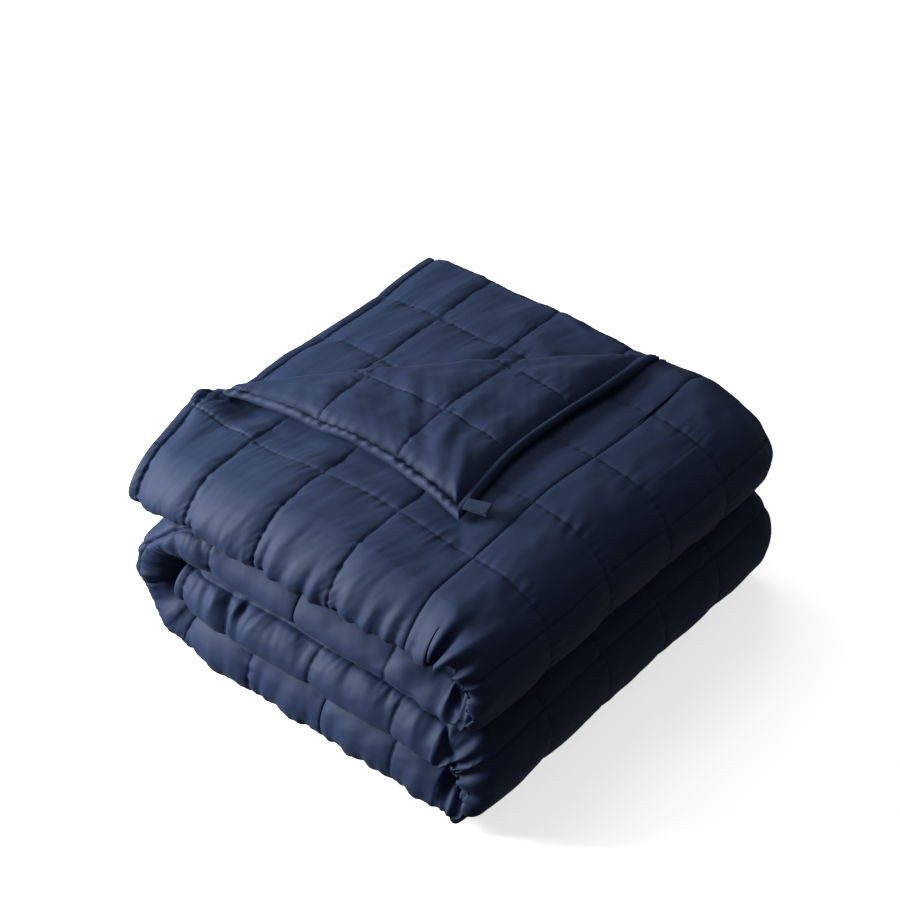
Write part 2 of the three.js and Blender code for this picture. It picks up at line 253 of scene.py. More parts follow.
GATHERS = (
    Gather(top_leg(-138), -4.2, 3.6, 40, 0.10),
    Gather(top_leg(-128), 1.8, 4.5, 46, 0.12),
    Gather(top_leg(-100), -1.4, 4.0, 40, -0.10),
    Gather(top_leg(-72), 1.2, 5.0, 44, -0.20),
    Gather(top_leg(-39), -6.0, 3.4, 46, 0.14),
    Gather(top_leg(-30), 3.0, 4.5, 58, 0.22),
    Gather(top_leg(-14), -2.4, 3.6, 44, 0.20),
    Gather(top_leg(-2), 1.8, 4.5, 50, 0.30),
    Gather(top_leg(14), -4.8, 3.6, 40, 0.22),
    Gather(top_leg(23), 2.6, 4.2, 56, 0.25),
    Gather(top_leg(37), -2.0, 3.2, 36, 0.20),
    Gather(top_leg(59), -5.4, 3.6, 48, 0.05),
    Gather(top_leg(68), 2.6, 4.5, 60, 0.10),
    Gather(top_leg(84), -2.6, 3.6, 42, 0.20),
    Gather(top_leg(95), 2.2, 4.5, 54, 0.22),
    Gather(top_leg(112), -3.4, 3.6, 50, 0.15),
    Gather(top_leg(121), 2.4, 4.0, 52, 0.15),
    Gather(top_leg(134), -3.0, 3.4, 46, 0.10),
    Gather(top_leg(156), -3.2, 4.5, 56, 0.10),
    Gather(0.985, 5.0, 8, 80, 0.16),
    Gather(1.07, -7.5, 7, 84, 0.18),
    Gather(1.16, 5.0, 7, 66, 0.18),
    Gather(1.25, -4.5, 5, 46, 0.10),
    Gather(1.34, 3.0, 5, 34, 0.00),
    Gather(1.43, -3.0, 5, 30, 0.00),
    Gather(1.52, 3.0, 5, 26, 0.00),
    Gather(1.61, -3.0, 5, 26, 0.00),
    Gather(1.70, 3.0, 5, 24, 0.00),
    Gather(second_leg(172), -3.0, 7, 70, 0.60),
    Gather(second_leg(150), 2.6, 7, 66, 0.65),
    Gather(second_leg(134), -2.4, 6, 56, 0.65),
    Gather(second_leg(60), -1.2, 6, 60, 0.50),
    Gather(second_leg(-146), -3.2, 5, 44, -0.50),
    Gather(second_leg(-134), 2.4, 6, 44, -0.40),
    Gather(3.10, -4.5, 6, 50, -0.20),
    Gather(3.24, 3.5, 7, 46, 0.00),
    Gather(3.38, -5.5, 6, 50, 0.10),
    Gather(3.54, 3.0, 7, 40, 0.00),
    Gather(3.70, -4.6, 6, 46, 0.00),
    Gather(3.84, 3.0, 7, 46, -0.10),
    Gather(bottom_leg(-156), -3.6, 5, 40, -0.20),
    Gather(bottom_leg(-120), 2.2, 6, 44, -0.20),
    Gather(bottom_leg(-96), -2.6, 5, 46, -0.25),
    Gather(bottom_leg(-62), -3.6, 4, 46, 0.15),
    Gather(bottom_leg(-40), -2.6, 4, 42, 0.25),
    Gather(bottom_leg(-16), 2.0, 5, 42, 0.20),
    Gather(bottom_leg(4), -3.0, 4, 44, 0.20),
    Gather(bottom_leg(46), -3.6, 4, 42, 0.10),
    Gather(bottom_leg(70), 2.0, 5, 40, 0.10),
    Gather(bottom_leg(86), -2.8, 4, 44, 0.15),
    Gather(bottom_leg(140), -3.4, 4, 50, 0.10),
    Gather(bottom_leg(156), 2.4, 5, 50, 0.10),
    Gather(5.05, -3.5, 5, 44, 0.10),
    Gather(5.16, 3.0, 5, 34, 0.00),
    Gather(5.27, -3.5, 5, 30, 0.00),
    Gather(5.38, 3.0, 5, 26, 0.00),
    Gather(5.49, -3.0, 5, 26, 0.00),
    Gather(5.60, 3.0, 5, 26, 0.00),
    Gather(5.71, -3.0, 5, 26, 0.00),
    Gather(third_leg(196), 3.0, 6, 40, 0.20),
    Gather(third_leg(170), -4.0, 5, 46, -0.10),
    Gather(third_leg(156), 2.6, 5, 46, -0.10),
    Gather(third_leg(112), -2.8, 4, 40, -0.20),
    Gather(third_leg(86), 1.8, 5, 42, -0.20),
    Gather(third_leg(60), -2.4, 4, 36, -0.15),
    Gather(third_leg(6), -3.0, 4, 42, 0.10),
    Gather(third_leg(-42), -2.2, 4, 36, 0.15),
    Gather(third_leg(-84), -5.2, 4.0, 54, -0.10),
    Gather(third_leg(-106), -5.2, 3.6, 50, -0.20),
    Gather(third_leg(-95), 2.6, 4.5, 50, -0.15),
    Gather(third_leg(-122), 2.4, 4.5, 44, -0.20),
    Gather(third_leg(-136), -3.6, 3.6, 44, -0.20),
    Gather(third_leg(-150), -2.6, 3.6, 38, -0.15),
)


@dataclass(frozen=True)
class Crease:
    """A soft ridge (a trough if negative) on a cloth lying flat: its middle, bearing and size."""

    x: float
    y: float
    bearing: float
    length: float
    width: float
    height: float


TOP_CREASES = (
    Crease(-190, -150, 5, 90, 12, 1.8),
    Crease(-60, -176, 8, 130, 14, 1.6),
    Crease(60, -180, -6, 120, 16, -1.2),
    Crease(-120, 226, 8, 90, 7, -2.4),
    Crease(-30, 232, -12, 70, 6, 2.2),
    Crease(60, 214, 12, 90, 9, -1.8),
    Crease(-186, 150, 62, 80, 9, -1.6),
    Crease(-205, 30, 40, 110, 12, 2.2),
    Crease(-150, 60, 30, 90, 10, -2.2),
    Crease(-20, 170, -30, 120, 12, 2.0),
    Crease(150, -20, 70, 130, 16, 1.5),
    Crease(190, 90, 80, 140, 18, -1.6),
)

CORNER_CREASES = (
    Crease(70, -80, 128, 90, 10, 2.2),
    Crease(46, -58, 118, 120, 9, -2.0),
    Crease(20, -20, 100, 110, 11, 2.6),
    Crease(-8, -46, 132, 120, 9, -2.4),
    Crease(-40, -20, 140, 100, 10, 2.0),
    Crease(60, 40, 60, 120, 11, -2.2),
    Crease(86, 120, 80, 110, 9, 2.0),
    Crease(40, 110, 50, 90, 9, 1.8),
    Crease(-110, -60, 20, 90, 9, 2.0),
    Crease(-160, -90, 35, 80, 9, -2.0),
    Crease(0, 90, 46, 260, 12, -1.6),
)


# ---- Small helpers --------------------------------------------------------------------------


def smooth(value: np.ndarray, low: float = 0.0, high: float = 1.0) -> np.ndarray:
    """Smooth step from 0 at low to 1 at high."""
    share = np.clip((np.asarray(value, float) - low) / (high - low), 0.0, 1.0)
    return share * share * (3.0 - 2.0 * share)


def graded(count: int, crowding: float) -> np.ndarray:
    """Shares from 0 up to 1, without 1: even at a crowding of 1, and close at the ends at 0."""
    even = np.arange(count) / count
    return crowding * even + (1.0 - crowding) * (1.0 - np.cos(math.pi * even)) / 2.0


def ripple(rng: np.random.Generator, u: np.ndarray, v: np.ndarray, wave: float) -> np.ndarray:
    """Soft uneven waves over a surface.

    Args:
        rng: source of the waves' bearings, lengths and phases.
        u: place along the surface, in millimetres.
        v: place across the surface, in millimetres.
        wave: typical wavelength, in millimetres.

    Returns:
        Heights of about 1 either way, in the shape of u and v together.
    """
    total = np.zeros(np.broadcast(u, v).shape)
    for _ in range(RIPPLE_WAVES):
        bearing = rng.uniform(0.0, 2.0 * math.pi)
        turn = 2.0 * math.pi / (wave * rng.uniform(0.7, 1.6))
        phase = rng.uniform(0.0, 2.0 * math.pi)
        total += np.sin(turn * (u * math.cos(bearing) + v * math.sin(bearing)) + phase)
    return total / math.sqrt(RIPPLE_WAVES / 2.0)


def creased(rows: tuple[Crease, ...], x: np.ndarray, y: np.ndarray) -> np.ndarray:
    """Height of a table of creases over places on a flat cloth.

    Args:
        rows: the creases.
        x: places along X, in millimetres.
        y: places along Y, in millimetres.

    Returns:
        The height at each place, in millimetres.
    """
    total = np.zeros(np.shape(x))
    for row in rows:
        bearing = math.radians(row.bearing)
        along = (x - row.x) * math.cos(bearing) + (y - row.y) * math.sin(bearing)
        across = (y - row.y) * math.cos(bearing) - (x - row.x) * math.sin(bearing)
        bowed = across + CREASE_BOW * along * along
        total += row.height * np.exp(-((bowed / row.width) ** 2) - (2.0 * along / row.length) ** 4)
    return total


def quilting(along: np.ndarray, across: np.ndarray, height: float, soft: float) -> np.ndarray:
    """Swell of a filled square over its seams.

    Args:
        along: distance to the nearest seam across the strip.
        across: distance to the nearest seam along the strip.
        height: full height of the swell.
        soft: distance in which the swell rises.

    Returns:
        The height over the seam at each place.
    """
    near = 1.0 - np.exp(-along / soft)
    return height * near * (1.0 - np.exp(-across / soft))


def waved(points: np.ndarray) -> np.ndarray:
    """Points pushed a little along X and Y, so that no seam runs quite straight."""
    rng = np.random.default_rng(SEAM_WAVE_SEED)
    moved = points.copy()
    moved[..., 0] += SEAM_WAVE * ripple(rng, points[..., 1], points[..., 2], SEAM_WAVE_LENGTH)
    moved[..., 1] += SEAM_WAVE * ripple(rng, points[..., 0], points[..., 2], SEAM_WAVE_LENGTH)
    return moved


def normals_of(points: np.ndarray, closed: bool) -> np.ndarray:
    """Unit normals of a grid of points.

    Args:
        points: grid of places, rows by columns by 3.
        closed: whether the last column joins the first.

    Returns:
        A unit normal for each place, in the sense of rows crossed with columns.
    """
    down = np.gradient(points, axis=0)
    if closed:
        across = np.roll(points, -1, axis=1) - np.roll(points, 1, axis=1)
    else:
        across = np.gradient(points, axis=1)
    normal = np.cross(down, across)
    length = np.linalg.norm(normal, axis=2, keepdims=True)
    return normal / np.maximum(length, 1e-9)


def run_along(points: np.ndarray) -> np.ndarray:
    """Distance of each point from the first, measured along the line through them."""
    return np.concatenate([[0.0], np.cumsum(np.linalg.norm(np.diff(points, axis=0), axis=1))])


def mixed_rows(name: str, leg: np.ndarray) -> np.ndarray:
    """One column of the section table, smoothly mixed between its rows.

    Args:
        name: the column.
        leg: places along the strip.

    Returns:
        The column's value at each place.
    """
    legs = np.array([row.leg for row in SECTIONS])
    values = np.array([getattr(row, name) for row in SECTIONS], float)
    after = np.clip(np.searchsorted(legs, leg), 1, len(legs) - 1)
    share = smooth((leg - legs[after - 1]) / (legs[after] - legs[after - 1]))
    return values[after - 1] * (1.0 - share) + values[after] * share


def path_at(leg: np.ndarray) -> tuple[np.ndarray, np.ndarray, np.ndarray]:
    """Centre line of the folded run.

    Args:
        leg: places along the strip. Even numbers start straight runs, and odd ones bends.

    Returns:
        The x and z of each place, and its heading in radians.
    """
    x, z, heading = np.zeros_like(leg), np.zeros_like(leg), np.zeros_like(leg)
    stretches = (
        (0, TOP_HEM_X, UPPER_BEND_X, Z_TOP, Z_TOP, 0.0, 0.0),
        (1, UPPER_BEND_X, UPPER_BEND_X, Z_TOP, Z_SECOND, 0.0, -math.pi),
        (2, UPPER_BEND_X, WRAP_X, Z_SECOND, Z_SECOND, -math.pi, 0.0),
        (3, WRAP_X, WRAP_X, Z_SECOND, Z_BOTTOM, -math.pi, math.pi),
        (4, WRAP_X, LOWER_BEND_X, Z_BOTTOM, Z_BOTTOM, 0.0, 0.0),
        (5, LOWER_BEND_X, LOWER_BEND_X, Z_BOTTOM, Z_THIRD, 0.0, math.pi),
        (6, LOWER_BEND_X, TUCKED_HEM_X, Z_THIRD, Z_THIRD, math.pi, 0.0),
    )
    for start, x0, x1, z0, z1, facing, turn in stretches:
        here = (leg >= start) & (leg <= start + 1 if start == 6 else leg < start + 1)
        share = leg[here] - start
        heading[here] = facing + turn * share
        if turn:
            side, radius = math.copysign(1.0, turn), abs(z1 - z0) / 2.0
            x[here] = x0 + side * radius * np.sin(heading[here])
            z[here] = (z0 + z1) / 2.0 - side * radius * np.cos(heading[here])
        else:
            x[here] = x0 + (x1 - x0) * share
            z[here] = z0
    return x, z, heading


def crown_at(leg: np.ndarray, y: np.ndarray) -> np.ndarray:
    """How far the outer face stands over its flat height."""
    return mixed_rows("crown", leg) - mixed_rows("drop", leg) * (y / HALF_WIDTH) ** 2


def top_height(x: np.ndarray, y: np.ndarray) -> np.ndarray:
    """Height of the stack's top face, before its squares swell."""
    leg = np.clip(top_leg(x), 0.0, 1.0)
    return Z_TOP + mixed_rows("half", leg) + crown_at(leg, y)


# ---- The turned-back corner's place ----------------------------------------------------------


@dataclass(frozen=True)
class CornerPlace:
    """Where the turned-back corner lies: its tip, the side of its triangle and its round crease."""

    tip_x: float = 106.0
    tip_y: float = -126.0
    side: float = 348.0
    thickness: float = 11.0
    air: float = 2.5
    crease_middle: float = 89.0
    crease_at_ends: float = 103.0
    ends_begin: float = 150.0
    ends_full: float = 238.0
    hem_grows_over: float = 70.0
    step_back: float = 18.0

    def towards_ends(self, x: np.ndarray, y: np.ndarray) -> np.ndarray:
        """How near a place is to one of the crease's two ends, from 0 to 1."""
        along = (x + y - self.tip_x - self.tip_y) / math.sqrt(2.0)
        return smooth(np.abs(along), self.ends_begin, self.ends_full)

    def offset(self, x: np.ndarray, y: np.ndarray) -> np.ndarray:
        """How far the crease's middle line stands behind the line y = x."""
        further = self.crease_at_ends - self.crease_middle
        return self.crease_middle + further * self.towards_ends(x, y)

    def behind_crease(self, x: np.ndarray, y: np.ndarray) -> np.ndarray:
        """Distance behind the crease's middle line, away from the tip."""
        return (y - x - self.offset(x, y)) / math.sqrt(2.0)

    def under(self, x: np.ndarray, y: np.ndarray) -> np.ndarray:
        """How far inside the corner's outline a place lies, or less than 0 outside it."""
        return np.minimum(np.minimum(self.tip_x - x, y - self.tip_y), -self.behind_crease(x, y))


CORNER = CornerPlace()


def outer_hem_y(leg: np.ndarray) -> np.ndarray:
    """Place across the strip where the outer third ends: at its hem, or at the crease."""
    x, _, _ = path_at(leg)
    on_top = leg < 1.0
    grown = smooth(x, CORNER.tip_x, CORNER.tip_x + CORNER.hem_grows_over)
    inset = HEM_INSET_AT_CORNER + (HEM_INSET - HEM_INSET_AT_CORNER) * np.where(on_top, grown, 1.0)
    hem = mixed_rows("back", leg) - inset
    crease = x + CORNER.offset(x, x + CORNER.crease_middle)
    crease += CORNER.step_back * smooth(x, CORNER.tip_x - 8.0, CORNER.tip_x + 2.0)
    return np.where(on_top, np.minimum(hem, crease), hem)


# ---- Finishes --------------------------------------------------------------------------------

WEAVE_PLACE = "weave_place"


def added(
    tree: bpy.types.NodeTree, kind: str, inputs: dict[str | int, float | bpy.types.NodeSocket]
) -> bpy.types.Node:
    """Adds a node to a material.

    Args:
        tree: the material's nodes.
        kind: the node's type.
        inputs: a value, or another node's output, for each input that is set.

    Returns:
        The node.
    """
    node = tree.nodes.new(kind)
    for name, value in inputs.items():
        if isinstance(value, bpy.types.NodeSocket):
            tree.links.new(value, node.inputs[name])
        else:
            node.inputs[name].default_value = value
    return node


def reckoned(
    tree: bpy.types.NodeTree, operation: str, *values: float | bpy.types.NodeSocket
) -> bpy.types.NodeSocket:
    """The output of a new maths node that works on numbers or on other nodes' outputs."""
    node = added(tree, "ShaderNodeMath", dict(enumerate(values)))
    node.operation = operation
    return node.outputs["Value"]


@dataclass(frozen=True)
class ClothFinish:
    """A smooth woven cloth with a soft sheen."""

    name: str
    dark: tuple[float, float, float]
    light: tuple[float, float, float]
    roughness: float
    sheen: float
    weave: float
    bump: float

    def material(self) -> bpy.types.Material:
        """Makes the material once: a plain weave in the cloth's own directions, and uneven colour."""
        held = bpy.data.materials.get(self.name)
        if held:
            return held
        made = bpy.data.materials.new(self.name)
        made.use_nodes = True
        tree = made.node_tree
        shader = tree.nodes["Principled BSDF"]
        shader.inputs["Sheen Weight"].default_value = self.sheen
        shader.inputs["Sheen Roughness"].default_value = 0.45
        shader.inputs["Sheen Tint"].default_value = (0.60, 0.75, 1.0, 1.0)
        shader.inputs["Specular IOR Level"].default_value = 0.16

        place = tree.nodes.new("ShaderNodeAttribute")
        place.attribute_name = WEAVE_PLACE
        where = place.outputs["Vector"]
        soft = added(tree, "ShaderNodeTexNoise", {"Scale": 14.0, "Detail": 4.0, "Vector": where})
        slub = added(tree, "ShaderNodeTexNoise", {"Scale": 420.0, "Detail": 2.0, "Vector": where})
        patchy = reckoned(tree, "MULTIPLY", soft.outputs["Fac"], 0.55)
        share = reckoned(tree, "MULTIPLY_ADD", slub.outputs["Fac"], 0.45, patchy)
        shade = tree.nodes.new("ShaderNodeMix")
        shade.data_type = "RGBA"
        shade.inputs["A"].default_value = (*self.dark, 1.0)
        shade.inputs["B"].default_value = (*self.light, 1.0)
        tree.links.new(share, shade.inputs["Factor"])
        tree.links.new(shade.outputs["Result"], shader.inputs["Base Color"])

        spread = {"To Min": self.roughness - 0.05, "To Max": self.roughness + 0.05}
        rough = added(tree, "ShaderNodeMapRange", {**spread, "Value": soft.outputs["Fac"]})
        tree.links.new(rough.outputs["Result"], shader.inputs["Roughness"])

        threads = []
        for direction in ("X", "Y"):
            sizes = {"Scale": self.weave, "Distortion": 0.6, "Detail": 1.0, "Vector": where}
            thread = added(tree, "ShaderNodeTexWave", sizes)
            thread.bands_direction = direction
            threads.append(thread.outputs["Fac"])
        relief = reckoned(tree, "ADD", reckoned(tree, "MAXIMUM", *threads), slub.outputs["Fac"])
        sizes = {"Strength": self.bump, "Distance": 0.0002, "Height": relief}
        bump = added(tree, "ShaderNodeBump", sizes)
        tree.links.new(bump.outputs["Normal"], shader.inputs["Normal"])
        return made


NAVY_CLOTH = ClothFinish(
    name="navy_quilted_cloth", dark=(0.0100, 0.0198, 0.0530), light=(0.0150, 0.0285, 0.0720),
    roughness=0.64, sheen=0.04, weave=260.0, bump=0.30,
)
NAVY_REVERSE = ClothFinish(
    name="navy_reverse_cloth", dark=(0.0100, 0.0195, 0.0520), light=(0.0150, 0.0280, 0.0710),
    roughness=0.64, sheen=0.04, weave=260.0, bump=0.30,
)
NAVY_TAPE = ClothFinish(
    name="navy_tape", dark=(0.0140, 0.0240, 0.0540), light=(0.0200, 0.0340, 0.0740),
    roughness=0.74, sheen=0.04, weave=520.0, bump=0.6,
)
NAVY_THREAD = ClothFinish(
    name="navy_thread", dark=(0.0110, 0.0195, 0.0460), light=(0.0170, 0.0290, 0.0640),
    roughness=0.66, sheen=0.03, weave=1500.0, bump=0.4,
)


# ---- Mesh making ------------------------------------------------------------------------------


def make_piece(
    name: str,
    points: np.ndarray,
    faces: list[tuple[int, ...]],
    places: np.ndarray,
    finish: ClothFinish,
) -> bpy.types.Object:
    """Makes a closed, smooth piece from points and faces.

    Args:
        name: the piece's name.
        points: its corners, in millimetres.
        faces: indices of each face's corners.
        places: each corner's place along and across the cloth, in millimetres, for the weave.
        finish: its finish.

    Returns:
        The object, linked to the scene.
    """
    mesh = bpy.data.meshes.new(name)
    mesh.from_pydata((points * MM + np.array([CENTRE_SHIFT * MM, 0, 0])).tolist(), [], faces)
    held = mesh.attributes.new(WEAVE_PLACE, "FLOAT_VECTOR", "POINT")
    flat = np.zeros((len(points), 3))
    flat[:, :2] = places * MM
    held.data.foreach_set("vector", flat.ravel())
    work = bmesh.new()
    work.from_mesh(mesh)
    bmesh.ops.remove_doubles(work, verts=work.verts, dist=SAME_PLACE)
    bmesh.ops.dissolve_degenerate(work, edges=work.edges, dist=SAME_PLACE)
    if work.calc_volume(signed=True) < 0.0:
        bmesh.ops.reverse_faces(work, faces=work.faces)
    open_edges = sum(1 for edge in work.edges if not edge.is_manifold or not edge.is_contiguous)
    work.to_mesh(mesh)
    work.free()
    mesh.polygons.foreach_set("use_smooth", [True] * len(mesh.polygons))
    mesh.materials.append(finish.material())
    piece = bpy.data.objects.new(name, mesh)
    bpy.context.scene.collection.objects.link(piece)
    count = len(mesh.vertices)
    LOG.info("%s: %d corners, %d edges that don't join two faces evenly", name, count, open_edges)
    return piece


def joined_sheets(
    upper: np.ndarray, lower: np.ndarray, cells: np.ndarray
) -> tuple[np.ndarray, list[tuple[int, ...]]]:
    """Joins two grids of points into a closed body.

    Args:
        upper: the upper surface's grid.
        lower: the lower surface's grid.
        cells: which cells of the grid hold cloth.

    Returns:
        The corners and faces.
    """
    rows, count = upper.shape[:2]
    offset = rows * count
    i, j = np.nonzero(cells)
    first, after = i * count + j, (i + 1) * count + j
    quads = np.stack([first, after, after + 1, first + 1], axis=1).tolist()
    faces = [tuple(quad) for quad in quads]
    faces += [tuple(corner + offset for corner in reversed(quad)) for quad in quads]
    edges = {pair for quad in quads for pair in zip(quad, quad[1:] + quad[:1])}
    faces += [
        (end, start, start + offset, end + offset) for start, end in edges if (end, start) not in edges
    ]
    points = np.vstack([upper.reshape(-1, 3), lower.reshape(-1, 3)])
    # Corners that no face uses would be stray points, so they are drawn to one that is used.
    used = sorted({corner for face in faces for corner in face})
    unused = np.ones(len(points), bool)
    unused[used] = False
    points[unused] = points[used[0]]
    return points, faces


# ---- The folded run ----------------------------------------------------------------------------


@dataclass(frozen=True)
class SeamLine:
    """A line of stitching on the finished surface: its points and the surface's normals there."""

    points: np.ndarray
    normals: np.ndarray


@dataclass(frozen=True)
class Column:
    """The columns of one band of the outline: the band and each column's place in it."""

    band: Band
    places: np.ndarray


@dataclass
class FoldedRun:
    """One closed piece of the folded strip, from one cross seam to another.

    knots are the places of its cross seams along the strip, ends included. sewn marks which of
    them are seams, and steps is the number of grid steps from each knot to the next.
    """

    name: str
    shown: Third
    knots: tuple[float, ...]
    sewn: tuple[bool, ...]
    steps: tuple[int, ...]
    seed: int
    hem_x: float | None = None
    soft: float = 9.0
    cell: int = 22
    roll: int = 54

    def stations(self) -> np.ndarray:
        """Places of the sections along the strip."""
        places = []
        for low, high, count in zip(self.knots, self.knots[1:], self.steps):
            places.append(low + (high - low) * graded(count, ROW_CROWDING))
        places.append(np.array([self.knots[-1]]))
        return np.concatenate(places)

    def columns(self) -> list[Column]:
        """The columns of each band: fine where the band shows, and few where it is hidden."""
        cell = graded(self.cell, COLUMN_CROWDING)
        near_roll = graded(22, COLUMN_CROWDING)
        few = np.arange(2) / 2
        outer = [graded(8, 0.6)] + [k + 1 + cell for k in range(4)] + [5 + near_roll]
        base = [near_roll] + [k + 1 + cell for k in range(4)]
        if self.shown is Third.BASE:
            outer = [k + few for k in range(6)]
        else:
            base = [k + few for k in range(5)]
        has_bare_cloth = self.shown is Third.OUTER and self.knots[0] == 0.0
        tucked_cell = graded(18, COLUMN_CROWDING) if has_bare_cloth else few
        tucked = [k + tucked_cell for k in range(4)] + [4 + few]
        even = {
            Band.BACK_FOLD: 20, Band.TUCKED_HEM: 4, Band.TUCKED_UNDER: 5, Band.INNER_FOLD: 4,
            Band.BASE_INSIDE: 5, Band.INNER_ROLL: 8, Band.OUTER_INSIDE: 6, Band.OUTER_HEM: 8,
        }
        made = {band: np.arange(count) / count for band, count in even.items()}
        made[Band.OUTER_FACE] = np.concatenate(outer)
        made[Band.FRONT_ROLL] = np.arange(self.roll) / self.roll
        made[Band.BASE_FACE] = np.concatenate(base)
        made[Band.TUCKED_FACE] = np.concatenate(tucked)
        return [Column(band, made[band]) for band in Band]

    def hem_share(self, leg: np.ndarray) -> np.ndarray:
        """Share of the cloth's full thickness that is left towards the hem at the strip's end."""
        if self.hem_x is None:
            return np.ones_like(leg)
        inside = np.abs(path_at(leg)[0] - self.hem_x)
        grown = smooth(inside, HEM_STITCH, HEM_STITCH + END_HEM_GROWTH)
        full = END_HEM_SHARE + (1.0 - END_HEM_SHARE) * grown
        pinch = STITCH_PINCH * np.exp(-(((inside - HEM_STITCH) / STITCH_PINCH_REACH) ** 2))
        edge = 0.25 + 0.75 * np.sqrt(1.0 - (1.0 - np.clip(inside / END_HEM_EDGE, 0.0, 1.0)) ** 2)
        return (full - pinch) * edge

    def outline(self, leg: np.ndarray) -> tuple[np.ndarray, np.ndarray, np.ndarray]:
        """Outlines of the sections.

        Args:
            leg: places of the sections along the strip.

        Returns:
            Each outline's places across the strip, its heights over the strip's middle, and the
            number of the band that each column belongs to.
        """
        half = mixed_rows("half", leg)
        hollow = mixed_rows("hollow", leg)
        # The thin lips of the bends run in small waves.
        wave = 2.0 * math.pi * leg / LIP_WAVE
        uneven = wave + 1.3 * np.sin(0.37 * wave)
        front = mixed_rows("front", leg) + LIP_WAVE_DEPTH * hollow * np.cos(uneven)
        bulge = mixed_rows("bulge", leg) + LIP_WAVE_HEIGHT * hollow * np.sin(wave)
        back = mixed_rows("back", leg)
        outer_roll, base_roll = mixed_rows("outer_roll", leg), mixed_rows("base_roll", leg)
        full = (2.0 * half - 2.0 * SLIT) / 3.0
        edge = full * self.hem_share(leg) / 2.0
        centre = half - full / 2.0
        top, low = (centre + edge)[:, None], (-centre - edge)[:, None]
        radius, thick = (centre / 2.0)[:, None], edge[:, None]
        inner = (centre - edge)[:, None] / top
        back_y = (back - centre / 2.0 - full / 2.0)[:, None]
        hem_y = outer_hem_y(leg)
        past_tip = smooth(path_at(leg)[0], CORNER.tip_x - 6, CORNER.tip_x + 4)
        is_hem = np.where(leg < 1.0, past_tip, 1.0)
        drop = np.minimum(HEM_DROP * is_hem, 1.2 * edge)[:, None]
        outer_front, base_front = front + outer_roll, front + base_roll
        tucked_y = (front + TUCKED_HEM_INSET + full / 2.0 + SLIT)[:, None]

        def knotted(places: np.ndarray, lines: list[np.ndarray]) -> np.ndarray:
            """Places that follow a list of lines, one for each whole number."""
            knots = np.stack(lines, axis=1)
            low_knot = np.minimum(places.astype(int), knots.shape[1] - 2)
            share = places - low_knot
            return knots[:, low_knot] * (1.0 - share) + knots[:, low_knot + 1] * share

        def rolled(height: np.ndarray, inward: np.ndarray) -> np.ndarray:
            """The front edge's place at heights from -1 to 1, drawn in by inward."""
            over = height - bulge[:, None]
            reach = np.where(over > 0, 1.0 - bulge[:, None], 1.0 + bulge[:, None])
            share = np.clip(np.abs(over) / reach, 0.0, 1.0)
            depth = np.where(over > 0, outer_roll[:, None], base_roll[:, None])
            sharp = smooth(depth, 30.0, 62.0)
            power = 2.0 - 0.4 * sharp - 0.75 * sharp * hollow[:, None]
            return front[:, None] + inward + depth * (1.0 - (1.0 - share**power) ** (1.0 / power))

        # Seams that the crease cuts off are squeezed close together by the stitch, but never onto it.
        seams = [
            np.minimum(np.full_like(leg, seam), hem_y - HEM_STITCH - 0.4 * (k + 1))
            for k, seam in enumerate(LONG_SEAMS)
        ]
        outer_lines = [hem_y, hem_y - HEM_STITCH, *seams, outer_front]
        tucked_seams = [np.full_like(leg, seam + TUCKED_SEAM_SHIFT) for seam in LONG_SEAMS]
        base_seams = [np.full_like(leg, seam + BASE_SEAM_SHIFT) for seam in reversed(LONG_SEAMS)]

        across, height, bands = [], [], []
        for column in self.columns():
            t = column.places[None, :]
            turn = math.pi * t - math.pi / 2.0
            if column.band is Band.OUTER_FACE:
                y = knotted(column.places, outer_lines)
                inside = np.maximum(hem_y[:, None] - y, 0.0)
                n = top - drop * np.exp(-((inside / HEM_DROP_REACH) ** 2))
            elif column.band is Band.FRONT_ROLL:
                q = np.sin(-turn)
                y = rolled(q, (1.0 - self.hem_share(leg))[:, None] * END_HEM_EDGE)
                n = q * top
            elif column.band is Band.BASE_FACE:
                y = knotted(column.places, [base_front, *base_seams, back_y[:, 0]])
                n = low + 0.0 * y
            elif column.band is Band.BACK_FOLD:
                y = back_y + (radius + thick) * np.cos(turn)
                n = -radius + (radius + thick) * np.sin(turn)
            elif column.band is Band.TUCKED_FACE:
                y = knotted(column.places, [back_y[:, 0], *tucked_seams, tucked_y[:, 0]])
                n = thick + 0.0 * y
            elif column.band is Band.TUCKED_HEM:
                y = tucked_y - thick * np.cos(turn)
                n = -thick * np.sin(turn)
            elif column.band is Band.TUCKED_UNDER:
                y = tucked_y + (back_y - tucked_y) * t
                n = -thick + 0.0 * y
            elif column.band is Band.INNER_FOLD:
                y = back_y + (radius - thick) * np.cos(-turn)
                n = -radius + (radius - thick) * np.sin(-turn)
            elif column.band is Band.BASE_INSIDE:
                y = back_y + (rolled(-inner, 2.0 * thick) - back_y) * t
                n = (-centre + edge)[:, None] + 0.0 * y
            elif column.band is Band.INNER_ROLL:
                q = np.sin(turn)
                y = rolled(q * inner, 2.0 * thick)
                n = q * (centre - edge)[:, None]
            elif column.band is Band.OUTER_INSIDE:
                begun = rolled(inner, 2.0 * thick)
                y = begun + (hem_y[:, None] - begun) * t
                n = (centre - edge)[:, None] + 0.0 * y
            else:
                rise = thick - drop / 2.0
                y = hem_y[:, None] + rise * np.cos(turn) * 0.8
                n = (centre - edge)[:, None] + rise + rise * np.sin(turn)
            across.append(np.broadcast_to(y, (len(leg), column.places.size)))
            height.append(np.broadcast_to(n, (len(leg), column.places.size)))
            bands.append(np.full(column.places.size, column.band.value))
        return np.hstack(across), np.hstack(height), np.concatenate(bands)

